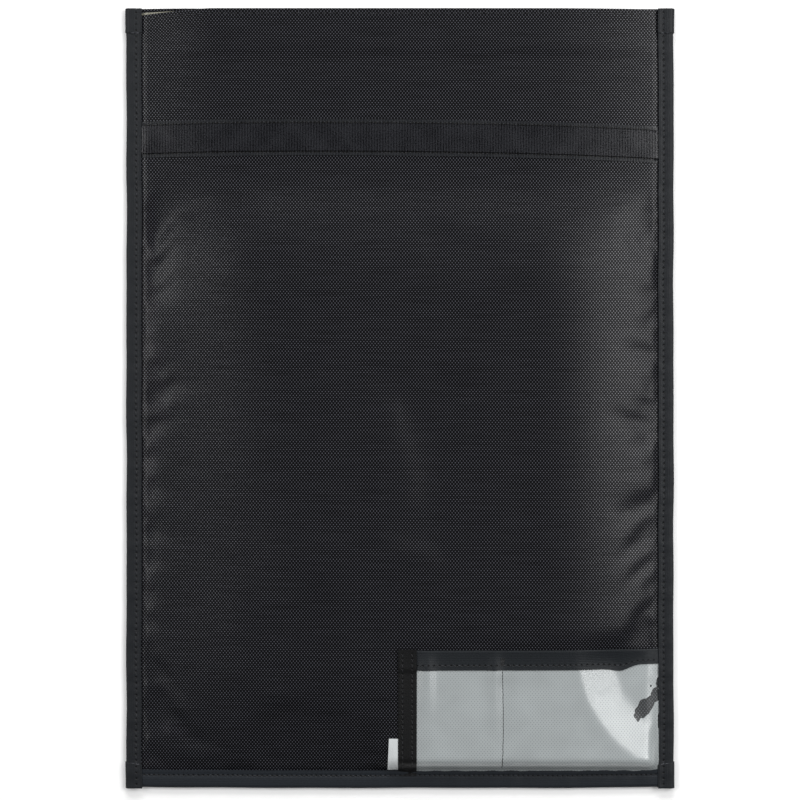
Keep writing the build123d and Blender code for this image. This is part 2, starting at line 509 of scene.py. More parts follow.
@dataclass(frozen=True)
class PlainWeave:
    """A plain weave laid out on a UV map in millimetres.

    Attributes:
        yarn_x_mm: The distance between two yarns along X.
        yarn_y_mm: The distance between two yarns along Y.
        weft_share: How far the yarns across stand up beside the ones along.
    """

    yarn_x_mm: float = 1.10
    yarn_y_mm: float = 1.32
    weft_share: float = 0.16

    def crowns(self, tree: bpy.types.NodeTree, uv: bpy.types.NodeSocket) -> bpy.types.NodeSocket:
        """Adds nodes that give 1 on top of a yarn and 0 in the holes between yarns.

        Args:
            tree: The material's node tree.
            uv: The UV map's socket.

        Returns:
            The height's socket.
        """
        split = add_node(tree, "SeparateXYZ", links={0: uv})
        waves = []
        for i, yarn in enumerate((self.yarn_x_mm, self.yarn_y_mm)):
            turn = math_node(tree, "MULTIPLY", split.outputs[i], math.pi / yarn)
            waves.append(math_node(tree, "ABSOLUTE", math_node(tree, "SINE", turn)))
        crown = math_node(tree, "MULTIPLY", *waves)
        cells = add_node(tree, "VectorMath", links={0: uv}, operation="MULTIPLY_ADD", values={
            1: (1 / self.yarn_x_mm, 1 / self.yarn_y_mm, 0.0), 2: (0.0, 0.0, 0.5)})
        parity = add_node(tree, "TexChecker", links={"Vector": cells.outputs[0]}, values={"Scale": 1.0})
        low = math_node(tree, "MULTIPLY", crown, self.weft_share)
        return add_node(tree, "Mix", links={0: parity.outputs["Fac"], 2: crown, 3: low}).outputs[0]


@dataclass(frozen=True)
class CoatedNylon:
    """Plain weave of thick black nylon yarn, coated on its inner face.

    Each yarn's crown has a painted highlight in its colour, and the holes between the yarns have
    painted shade, so the cloth looks grainy, with a low shine.

    Attributes:
        name: The material's name.
        weave: The weave.
        crown: The colour on top of a yarn, with a painted highlight in it.
        hollow: The colour in the holes, with painted shade in it.
        relief_mm: How far the yarns stand up.
        grain: How sharply the painted highlight falls off beside a yarn's crown.
        streaks_per_mm: How often the yarns' tone changes along X and along Y.
        gloss: How much shinier a crown is than a hole.
        overall_gloss: The shine of the holes.
    """

    name: str = "coated_woven_nylon"
    weave: PlainWeave = PlainWeave()
    crown: str = "51525B"
    hollow: str = "010102"
    relief_mm: float = 0.40
    grain: float = 2.0
    streaks_per_mm: tuple[float, float] = (0.03, 0.76)
    gloss: float = 1.6
    overall_gloss: float = 0.13

    def build(self) -> Material:
        """Makes the material."""
        material, tree, shader = start_material(self.name)
        uv = add_node(tree, "UVMap", uv_map="UVMap").outputs[0]
        relief = self.weave.crowns(tree, uv)
        streaks = add_node(tree, "VectorMath", links={0: uv}, operation="MULTIPLY",
                           values={1: (*self.streaks_per_mm, 0.0)})
        slub = remap(tree, noise_node(tree, streaks.outputs[0], 1.0, 2.0), (0.3, 0.7), (0.72, 1.25))
        # Painted highlight and shade: the base colour runs from near-black in the holes to grey on the
        # crowns, by the weave's height, times the random slub.
        tone = math_node(tree, "MULTIPLY", math_node(tree, "POWER", relief, self.grain), slub)
        shine = math_node(tree, "MULTIPLY_ADD", tone, self.gloss, self.overall_gloss)
        set_shader(shader, links={
            "Base Color": mix_colours(tree, tone, self.hollow, self.crown),
            "Normal": bump_node(tree, relief, 0.7, self.relief_mm),
            "Coat Normal": bump_node(tree, relief, 0.12, self.relief_mm),
            "Coat Weight": math_node(tree, "MINIMUM", shine, 1.0),
        }, values={"Coat Roughness": 0.33, "Roughness": 0.8, "Specular IOR Level": 0.05})
        return material


@dataclass(frozen=True)
class GlassCloth:
    """Glass fibre cloth with a silver-grey fire-resistant coating.

    It is a fine pale weave with a soft metallic shine.

    Attributes:
        name: The material's name.
        yarn_mm: The distance between two yarns.
        light: The colour of the yarns on top.
        dark: The colour of the yarns below.
    """

    name: str = "coated_glass_fibre_cloth"
    yarn_mm: float = 0.9
    light: str = "8A887A"
    dark: str = "5F5E54"

    def build(self) -> Material:
        """Makes the material."""
        material, tree, shader = start_material(self.name)
        uv = add_node(tree, "UVMap", uv_map="UVMap").outputs[0]
        scaled = add_node(tree, "VectorMath", links={0: uv}, operation="SCALE",
                          values={"Scale": 1 / self.yarn_mm})
        lifted = add_node(tree, "VectorMath", links={0: scaled.outputs[0]}, values={1: (0.0, 0.0, 0.5)})
        weave = add_node(tree, "TexChecker", links={"Vector": lifted.outputs[0]}, values={
            "Scale": 1.0, "Color1": linear(self.light), "Color2": linear(self.dark)})
        set_shader(shader, links={
            "Base Color": weave.outputs["Color"],
            "Normal": bump_node(tree, weave.outputs["Fac"], 0.25, 0.2),
        }, values={"Roughness": 0.45, "Metallic": 0.25})
        return material


@dataclass(frozen=True)
class NeedleHoles:
    """Rows of needle holes in a tape, on a UV map in millimetres: X across the tape, Y along it.

    Attributes:
        lines_mm: Where the rows run, across the tape.
        pitch_mm: The distance between two holes.
        hole_mm: A hole's diameter with the dimple round it.
    """

    lines_mm: tuple[float, ...]
    pitch_mm: float
    hole_mm: float = 1.2

    def mask(self, tree: bpy.types.NodeTree, split: bpy.types.Node) -> bpy.types.NodeSocket:
        """Adds nodes that give 1 in the holes.

        Args:
            tree: The material's node tree.
            split: The node that separates the UV map.

        Returns:
            The mask's socket.
        """
        gaps = [math_node(tree, "ABSOLUTE", math_node(tree, "SUBTRACT", split.outputs[0], line))
                for line in self.lines_mm]
        near = reduce(lambda a, b: math_node(tree, "MINIMUM", a, b), gaps)
        phase = math_node(tree, "WRAP", split.outputs[1], self.pitch_mm / 2, -self.pitch_mm / 2)
        reach = math_node(tree, "SQRT", math_node(
            tree, "ADD", math_node(tree, "POWER", near, 2.0), math_node(tree, "POWER", phase, 2.0)))
        return remap(tree, reach, (self.hole_mm * 0.3, self.hole_mm * 0.75), (1.0, 0.0), "SMOOTHSTEP")


def pierce_and_shade(
    tree: bpy.types.NodeTree,
    split: bpy.types.Node,
    holes: Optional[NeedleHoles],
    colour: bpy.types.NodeSocket,
    relief: bpy.types.NodeSocket,
) -> tuple[bpy.types.NodeSocket, bpy.types.NodeSocket]:
    """Paints shade into a tape's colour where the needle went through, and sinks its surface there.

    Args:
        tree: The material's node tree.
        split: The node that separates the UV map.
        holes: The holes, if the tape is sewn.
        colour: The tape's colour.
        relief: The tape's height.

    Returns:
        The colour with painted shade in the holes, and the height with the holes.
    """
    if holes is None:
        return colour, relief
    mask = holes.mask(tree, split)
    # Painted shade: each hole is coloured near-black for the shade inside it.
    hole_shade = add_node(tree, "Mix", links={0: mask, 6: colour}, data_type="RGBA",
                       values={7: linear("020203")})
    return hole_shade.outputs[2], math_node(tree, "MULTIPLY_ADD", mask, -2.5, relief)


@dataclass(frozen=True)
class Webbing:
    """Soft black polyester tape, woven with fine ribs.

    It looks flatter and a little bluer than the nylon. Where it is sewn, the needle's holes have
    painted shade, a row of near-black dots.

    Attributes:
        name: The material's name.
        holes: Its needle holes, if it is sewn.
        light: The ribs' colour.
        dark: The colour between the ribs.
        rib_mm: The distance between two ribs.
    """

    name: str = "woven_binding_tape"
    holes: Optional[NeedleHoles] = None
    light: str = "1C1F23"
    dark: str = "0E1013"
    # The real ribs are about 0.5 mm apart, which is too fine to show, so these are coarser.
    rib_mm: float = 1.2

    def build(self) -> Material:
        """Makes the material."""
        material, tree, shader = start_material(self.name)
        uv = add_node(tree, "UVMap", uv_map="UVMap").outputs[0]
        split = add_node(tree, "SeparateXYZ", links={0: uv})
        ribs = sine_node(tree, split.outputs[0], self.rib_mm)
        relief = math_node(tree, "MULTIPLY_ADD", ribs, 0.14, noise_node(tree, uv, 0.9, 4.0))
        plain = mix_colours(tree, remap(tree, relief, (0.1, 0.9)), self.dark, self.light)
        colour, height = pierce_and_shade(tree, split, self.holes, plain, relief)
        set_shader(shader, links={"Base Color": colour, "Normal": bump_node(tree, height, 0.5, 0.25)},
                   values={"Roughness": 0.5, "Specular IOR Level": 0.22})
        return material


@dataclass(frozen=True)
class Pile:
    """The loop or hook side of fastener tape: nylon pile in rows, between two flat woven edges.

    The pile is dull, dark and a little uneven, and the flat edges are smoother and paler.

    Attributes:
        name: The material's name.
        holes: The needle holes along its edges.
        width_mm: The tape's width.
        edge_mm: The width of a flat edge.
        row_mm: The distance between two rows of pile.
        tuft_mm: The size of its tufts.
        light: The tufts' colour.
        dark: The colour between them.
        flat: The flat edges' colour.
        worn: How much its height differs between matted and open patches.
    """

    name: str = "fastener_loop_pile"
    holes: Optional[NeedleHoles] = None
    width_mm: float = 25.0
    edge_mm: float = 2.6
    row_mm: float = 1.9
    tuft_mm: float = 0.8
    light: str = "10121A"
    dark: str = "010103"
    flat: str = "131519"
    worn: float = 0.25

    def build(self) -> Material:
        """Makes the material."""
        material, tree, shader = start_material(self.name)
        uv = add_node(tree, "UVMap", uv_map="UVMap").outputs[0]
        split = add_node(tree, "SeparateXYZ", links={0: uv})
        rows = sine_node(tree, split.outputs[1], self.row_mm)
        relief = math_node(tree, "MULTIPLY_ADD", rows, 0.09, noise_node(tree, uv, 1 / self.tuft_mm, 3.0))
        relief = math_node(tree, "MULTIPLY_ADD", noise_node(tree, uv, 0.07, 2.0), self.worn, relief)
        share = remap(tree, relief, (0.42, 0.86))
        pile = mix_colours(tree, share, self.dark, self.light)
        inside = math_node(tree, "MINIMUM", split.outputs[0], math_node(
            tree, "SUBTRACT", self.width_mm, split.outputs[0]))
        raised = remap(tree, inside, (self.edge_mm - 0.5, self.edge_mm), curve="SMOOTHSTEP")
        plain = add_node(tree, "Mix", links={0: raised, 7: pile}, data_type="RGBA",
                         values={6: linear(self.flat)}).outputs[2]
        colour, height = pierce_and_shade(tree, split, self.holes, plain, relief)
        set_shader(shader, links={
            "Base Color": colour,
            "Normal": bump_node(tree, height, 0.8, 0.4),
            "Coat Weight": share,
        }, values={"Coat Roughness": 0.4, "Roughness": 0.8, "Specular IOR Level": 0.05})
        return material


@dataclass(frozen=True)
class Cling:
    """A patch where the film sticks flat to the cloth.

    Attributes:
        x_mm: Its middle across the bag.
        y_mm: Its middle along the bag.
        across_mm: Half its width.
        along_mm: Half its length.
        lean_degrees: How far it leans.
    """

    x_mm: float
    y_mm: float
    across_mm: float
    along_mm: float
    lean_degrees: float = 0.0


@dataclass(frozen=True)
class VinylFilm:
    """Soft clear vinyl, hazed by its calendered back face.

    It looks pale grey, lets the weave behind it through faintly and has a wet gloss. Where it
    clings to the cloth, the haze goes and the cloth shows dark.

    Attributes:
        name: The material's name.
        thin: Its colour where it is thinner.
        thick: Its colour where it is thicker.
        cover: How much it hides over the weave's holes.
        weave_share: How much less it hides over the yarns' crowns.
        cling_cover: How much it hides where it clings.
        wetness: Its gloss where it clings, and how much less it has elsewhere.
        weave: The weave behind it.
        clings: Where it clings to the cloth.
    """

    name: str = "hazy_vinyl_film"
    thin: str = "959A9B"
    thick: str = "A8AEAF"
    cover: float = 0.95
    weave_share: float = 0.42
    cling_cover: float = 0.06
    wetness: tuple[float, float] = (0.5, 0.16)
    weave: PlainWeave = PlainWeave()
    clings: tuple[Cling, ...] = ()

    def build(self) -> Material:
        """Makes the material."""
        material, tree, shader = start_material(self.name)
        uv = add_node(tree, "UVMap", uv_map="UVMap").outputs[0]
        mottle = noise_node(tree, uv, 0.05, 2.0)
        rough_edge = math_node(tree, "SUBTRACT", noise_node(tree, uv, 0.16, 1.0), 0.5)
        gaps = []
        for cling in self.clings:
            mapping = add_node(tree, "Mapping", links={"Vector": uv}, vector_type="TEXTURE", values={
                "Location": (cling.x_mm, cling.y_mm, 0.0),
                "Rotation": (0.0, 0.0, math.radians(cling.lean_degrees)),
                "Scale": (cling.across_mm, cling.along_mm, 1.0)})
            length = add_node(tree, "VectorMath", links={0: mapping.outputs[0]}, operation="LENGTH")
            gaps.append(length.outputs["Value"])
        reach = reduce(lambda a, b: math_node(tree, "MINIMUM", a, b), gaps)
        crowns = self.weave.crowns(tree, uv)
        haze = math_node(tree, "MULTIPLY_ADD", crowns, -self.weave_share, self.cover)
        clear = remap(tree, math_node(tree, "ADD", reach, rough_edge), (0.97, 1.03))
        cover = add_node(tree, "Mix", links={0: clear, 3: haze}, values={2: self.cling_cover})
        set_shader(shader, links={
            "Base Color": mix_colours(tree, mottle, self.thin, self.thick),
            "Alpha": cover.outputs[0],
            "Coat Weight": math_node(tree, "MULTIPLY_ADD", clear, -self.wetness[1], self.wetness[0]),
        }, values={"Roughness": 0.28, "IOR": 1.53, "Coat Roughness": 0.16})
        return material


@dataclass(frozen=True)
class SatinLabel:
    """White woven satin ribbon: bright, with faint lines along its threads.

    Attributes:
        name: The material's name.
        light: The threads' colour.
        dark: The colour between them.
        thread_mm: The distance between two threads.
    """

    name: str = "woven_satin_label"
    light: str = "CFD3D4"
    dark: str = "B9BDBE"
    thread_mm: float = 0.7

    def build(self) -> Material:
        """Makes the material."""
        material, tree, shader = start_material(self.name)
        uv = add_node(tree, "UVMap", uv_map="UVMap").outputs[0]
        split = add_node(tree, "SeparateXYZ", links={0: uv})
        threads = sine_node(tree, split.outputs[1], self.thread_mm)
        share = math_node(tree, "MULTIPLY_ADD", threads, 0.5, 0.5)
        set_shader(shader, links={
            "Base Color": mix_colours(tree, share, self.dark, self.light),
            "Normal": bump_node(tree, share, 0.3, 0.1),
        }, values={"Roughness": 0.5})
        return material


@dataclass(frozen=True)
class SewingThread:
    """Bonded polyester thread: dark, with a painted highlight on its twist.

    Attributes:
        name: The material's name.
        light: The twist's colour, with a painted highlight in it.
        dark: The colour between its turns.
        twist_mm: Sets how close the turns lie.
    """

    name: str = "bonded_polyester_thread"
    light: str = "202227"
    dark: str = "0D0E11"
    twist_mm: float = 0.8

    def build(self) -> Material:
        """Makes the material."""
        material, tree, shader = start_material(self.name)
        where = add_node(tree, "TexCoord").outputs["Object"]
        twist = add_node(tree, "TexWave", links={"Vector": where}, bands_direction="DIAGONAL",
                         values={"Scale": 0.5 / (self.twist_mm * MM) / 10, "Distortion": 0.0})
        # Painted highlight: the twist's bands are lighter in colour than the turns between them.
        colour = mix_colours(tree, twist.outputs["Fac"], self.dark, self.light)
        set_shader(shader, links={"Base Color": colour}, values={"Roughness": 0.5})
        return material


# ---------------------------------------------------------------------------------------------
# The shape of the two panels
# ---------------------------------------------------------------------------------------------


@dataclass(frozen=True)
class Swell:
    """A soft rise, or a hollow where its height is negative, in the front panel.

    Attributes:
        x: Its middle across the bag.
        y: Its middle along the bag.
        across: Half its width.
        along: Half its length.
        height: How far it rises.
    """

    x: float
    y: float
    across: float
    along: float
    height: float


@dataclass
class FrontForm:
    """The front panel's outer face: a low pillow held down at the bindings.

    Attributes:
        layout: The bag's main lines.
        spacing: The form's grid spacing.
        left_margins: Width of the slope beside the left binding: low down, higher up and at the lip.
        margins_change: How far up the bag the first goes over into the second, and the third starts.
        right_margin: Width of the slope beside the right binding.
        bottom_margin: Length of the slope above the bottom binding.
        neck_slope: Length of the slope from the plateau to the neck.
        neck_start: Where that slope ends.
        lip_rise: How far past the upper crease the lip rises.
        pucker: How high the puckers beside the bindings stand.
        pucker_reach: How far from the bindings they fade.
        edge_height: The face's height inside the bindings.
        most_moved: The furthest that the cloth may settle up or down.
        stiffened: The share of that which the stiff film takes away under the pocket.
        mouth_held: The share which the folded mouth takes away.
        mouth_fade: The places along the bag where that starts and is full.
        pocket_lead: How far outside the pocket, at its left and its top, the film shapes the panel.
        pocket_fade: The distances over which that starts.
        dish_centre: The middle of the round hollow that the stiff film makes in the pocket's corner.
        dish_floor: Where the hollow's flat floor ends, from its middle.
        dish_rim: Where its steep wall ends.
        floor_slope: How steep the floor is.
        wall_slope: How steep the wall is.
        outer_slope: How steep the panel is past the wall.
        dish_turns: How softly the floor turns into the wall, and the wall into the rest.
        dish_edges: Length of the panel's slope beside the right and the bottom bindings.
        swells: The panel's soft rises and hollows.
    """

    layout: Layout
    spacing: float = 3 * MM
    left_margins: tuple[float, float, float] = (130 * MM, 86 * MM, 56 * MM)
    margins_change: float = 120 * MM
    right_margin: float = 84 * MM
    bottom_margin: float = 78 * MM
    neck_slope: float = 82 * MM
    neck_start: float = 163 * MM
    lip_rise: float = 8 * MM
    pucker: float = 1.3 * MM
    pucker_reach: float = 13 * MM
    edge_height: float = 3.4 * MM
    most_moved: float = 1.3 * MM
    stiffened: float = 0.85
    mouth_held: float = 0.9
    mouth_fade: tuple[float, float] = (120 * MM, 150 * MM)
    pocket_lead: tuple[float, float] = (22 * MM, 14 * MM)
    pocket_fade: tuple[float, float] = (30 * MM, 26 * MM)
    dish_centre: tuple[float, float] = (216 * MM, -171 * MM)
    dish_floor: float = 64 * MM
    dish_rim: float = 93 * MM
    floor_slope: float = 0.06
    wall_slope: float = 0.30
    outer_slope: float = 0.02
    dish_turns: tuple[float, float] = (10 * MM, 4 * MM)
    dish_edges: tuple[float, float] = (8 * MM, 9 * MM)
    swells: tuple[Swell, ...] = (
        Swell(-0.105, -0.02, 0.035, 0.10, 0.0012),
        Swell(0.02, 0.05, 0.07, 0.11, -0.0010),
        Swell(0.125, -0.02, 0.03, 0.12, 0.0010),
        Swell(-0.03, -0.16, 0.08, 0.05, -0.0004),
        Swell(-0.07, -0.115, 0.028, 0.03, 0.0014),
        Swell(0.005, -0.10, 0.025, 0.035, 0.0012),
        Swell(-0.115, -0.15, 0.022, 0.03, 0.0010),
        Swell(0.08, 0.10, 0.05, 0.04, 0.0007),
        Swell(-0.08, 0.11, 0.05, 0.04, 0.0006),
        Swell(-0.152, -0.247, 0.016, 0.006, 0.0016),
    )

    def planned(self, x: np.ndarray, y: np.ndarray) -> np.ndarray:
        """The face's height as it is cut and sewn, before the cloth relaxes."""
        plan = self.layout
        from_side = plan.side_inner - np.abs(x)
        low, high, lip = self.left_margins
        left = low + (high - low) * ease(y / self.margins_change)
        left = left + (lip - high) * ease((y - self.margins_change) / (80 * MM))
        flank = (self._rise(from_side, left) + ease(from_side / left)) / 2
        full = np.where(x < 0, flank, self._rise(from_side, self.right_margin))
        crown = (plan.plateau - self.edge_height) * self._rise(y - plan.bottom_inner, self.bottom_margin)
        past_slope = (y - self.neck_start + self.neck_slope) / self.neck_slope
        crown -= (plan.plateau - plan.neck) * ease(past_slope)
        crown += (plan.lip - plan.neck) * ease((y - plan.upper.y) / self.lip_rise)
        for swell in self.swells:
            gap = ((x - swell.x) / swell.across) ** 2 + ((y - swell.y) / swell.along) ** 2
            crown = crown + swell.height * np.exp(-gap)
        near = np.exp(-from_side / self.pucker_reach) * (from_side > 0)
        pucker = ripple(y, (31 * MM, 19 * MM, 47 * MM), 1.3) * np.sign(x)
        pucker += ripple(y, (23 * MM, 39 * MM), 4.1)
        pillow = crown * full + pucker * near * full * self.pucker
        under = self.under_pocket(x, y)
        return self.edge_height + pillow * (1 - under) + self._dish(x, y) * under

    def _rise(self, inside: np.ndarray, margin: Any) -> np.ndarray:
        """The share of the full height at a distance inside a binding, steepest beside it."""
        return 1 - (1 - np.clip(inside / margin, 0, 1)) ** 2

    def under_pocket(self, x: np.ndarray, y: np.ndarray) -> np.ndarray:
        """How much the stiff pocket shapes the panel, from 0 to 1."""
        left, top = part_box("pocket_left_binding")[0][0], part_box("pocket_top_binding")[1][1]
        from_left, from_top = x - left + self.pocket_lead[0], top + self.pocket_lead[1] - y
        return ease(from_left / self.pocket_fade[0]) * ease(from_top / self.pocket_fade[1])

    def _dish(self, x: np.ndarray, y: np.ndarray) -> np.ndarray:
        """The panel's height over its edges under the pocket: flat, with a round hollow at one corner."""
        stations = np.arange(0.0, 0.5, 1 * MM)
        slope = np.full(len(stations), self.floor_slope)
        wall, outside = [ease((stations - edge) / turn) for edge, turn
                         in zip((self.dish_floor, self.dish_rim), self.dish_turns)]
        slope += (self.wall_slope - self.floor_slope) * wall
        slope -= (self.wall_slope - self.outer_slope) * outside
        heights = np.cumsum(slope) * MM
        reach = np.hypot(x - self.dish_centre[0], y - self.dish_centre[1])
        nearest = self.dish_centre[0] - self.layout.side_inner
        height = np.interp(reach, stations, heights) - np.interp(nearest, stations, heights)
        held = self._rise(self.layout.side_inner - x, self.dish_edges[0])
        return height * held * self._rise(y - self.layout.bottom_inner, self.dish_edges[1])

    def relax(self) -> HeightField:
        """Lets the sewn panel settle as cloth, with a little air under it.

        Returns:
            The heights of the settled face.
        """
        plan = self.layout
        xs = spaced((-plan.half_width, plan.half_width), (self.spacing,))
        ys = spaced((plan.bottom, plan.top), (self.spacing,))
        form = add_grid("front_form", xs, ys)
        settle(form, self.planned)
        start = points(form)
        run_cloth(form, self._held(start), frames=14)
        moved = self.most_moved * np.tanh((points(form)[:, 2] - start[:, 2]) / self.most_moved)
        # The stiff film and the folded mouth hold the cloth nearly as it was sewn.
        free = 1 - self.stiffened * self.under_pocket(start[:, 0], start[:, 1])
        low, high = self.mouth_fade
        start[:, 2] += moved * free * (1 - self.mouth_held * ease((start[:, 1] - low) / (high - low)))
        columns = np.searchsorted(xs, start[:, 0] + self.spacing / 4) - 1
        rows = np.searchsorted(ys, start[:, 1] + self.spacing / 4) - 1
        values = np.zeros((len(ys), len(xs)))
        values[rows, columns] = start[:, 2]
        bpy.data.objects.remove(form)
        return HeightField((xs[0], ys[0]), (xs[1] - xs[0], ys[1] - ys[0]), values)

    def _held(self, where: np.ndarray) -> np.ndarray:
        """How firmly each point is held: fully in the bindings, loosely elsewhere."""
        plan = self.layout
        inside = np.minimum(plan.side_inner - np.abs(where[:, 0]), where[:, 1] - plan.bottom_inner)
        firm = 1 - ease(inside / (5 * MM))
        return np.clip(firm + 0.012, 0, 1)


@dataclass
class FrontFace:
    """The settled front face, with the furrow where each binding's edge presses into it.

    Attributes:
        layout: The bag's main lines.
        settled: The face's heights before that.
        furrow_depth: How deep the furrow is.
        furrow_width: Half its width.
        stitch_pinch: How much deeper it is at some stitches than at others.
    """

    layout: Layout
    settled: HeightField
    furrow_depth: float = 0.55 * MM
    furrow_width: float = 2.2 * MM
    stitch_pinch: float = 0.2 * MM

    def __call__(self, x: np.ndarray, y: np.ndarray) -> np.ndarray:
        """The height at each place."""
        plan = self.layout
        inside = np.minimum(plan.side_inner - np.abs(x), y - plan.bottom_inner)
        depth = self.furrow_depth + self.stitch_pinch * ripple(x + y, (4.1 * MM, 13 * MM), 0.5)
        return self.settled(x, y) - depth * np.exp(-((inside / self.furrow_width) ** 2))


def run_cloth(obj: Object, held: np.ndarray, frames: int) -> None:
    """Simulates a mesh as coated nylon with a little air under it, and applies the result.

    Args:
        obj: The mesh.
        held: How firmly each vertex is pinned, from 0 to 1.
        frames: How many frames to run.
    """
    group = obj.vertex_groups.new(name="held")
    for index, weight in enumerate(held):
        group.add([index], float(weight), "REPLACE")
    activate(obj)
    modifier = obj.modifiers.new("Cloth", "CLOTH")
    settings = modifier.settings
    settings.quality = 6
    settings.mass = 0.35
    settings.tension_stiffness = settings.compression_stiffness = 40
    settings.bending_stiffness = 4.0
    settings.vertex_group_mass = "held"
    settings.pin_stiffness = 1.0
    settings.shrink_min = -0.012
    settings.use_pressure = True
    settings.uniform_pressure_force = 0.6
    settings.effector_weights.gravity = 0.0
    modifier.collision_settings.use_collision = False
    modifier.point_cache.frame_start = 1
    modifier.point_cache.frame_end = frames
    scene = bpy.context.scene
    for step in range(1, frames + 1):
        scene.frame_set(step)
    bpy.ops.object.modifier_apply(modifier=modifier.name)
    scene.frame_set(1)


@dataclass
class BackForm:
    """The back panel's outer face: flat on what the bag lies on, lifted at the bindings.

    Attributes:
        layout: The bag's main lines.
        margin: Width of the slope beside the bindings.
        edge_height: The face's height there and in the mouth.
        curl: How far the lip's edge curls up near its left end.
        curl_at: Where across the bag it curls most.
        curl_reach: How far to each side it does.
    """

    layout: Layout
    margin: float = 36 * MM
    edge_height: float = 1.2 * MM
    curl: float = 2.4 * MM
    curl_at: float = -148 * MM
    curl_reach: float = 24 * MM

    def __call__(self, x: np.ndarray, y: np.ndarray) -> np.ndarray:
        """The height at each place."""
        plan = self.layout
        full = ease((plan.side_inner - np.abs(x)) / self.margin)
        full = full * ease((y - plan.bottom_inner) / self.margin)
        lifted = ease((y - plan.upper.y) / (5 * MM))
        near = np.exp(-(((x - self.curl_at) / self.curl_reach) ** 2))
        curled = ease((y - plan.top + 4 * MM) / (3 * MM)) * near
        return self.edge_height * (1 - full * (1 - lifted)) + self.curl * curled


# ---------------------------------------------------------------------------------------------
# Sub-assemblies
# ---------------------------------------------------------------------------------------------


@dataclass
class Palette:
    """The materials, each made once."""

    shell: Material
    lining: Material
    side_tape: Material
    bottom_tape: Material
    tuck_tape: Material
    pocket_top_tape: Material
    pocket_left_tape: Material
    loop: Material
    hook: Material
    film: Material
    label: Material
    thread: Material
    end_thread: Material
    fold_shade_thread: Material


def finish_piece(
    piece: Object, material: Material, nodes: Sequence[str] = (), body: str = ""
) -> None:
    """Dresses a finished piece, ties it to the frame and reports it.

    Args:
        piece: The piece.
        material: Its material.
        nodes: The CAD nodes that it stands for.
        body: The body that it rides on, if it crosses no crease.
    """
    if nodes:
        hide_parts(*nodes)
    piece.data.materials.clear()
    piece.data.materials.append(material)
    if body:
        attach(piece, body)
    LOG.info("%s: %d faces", piece.name, len(piece.data.polygons))


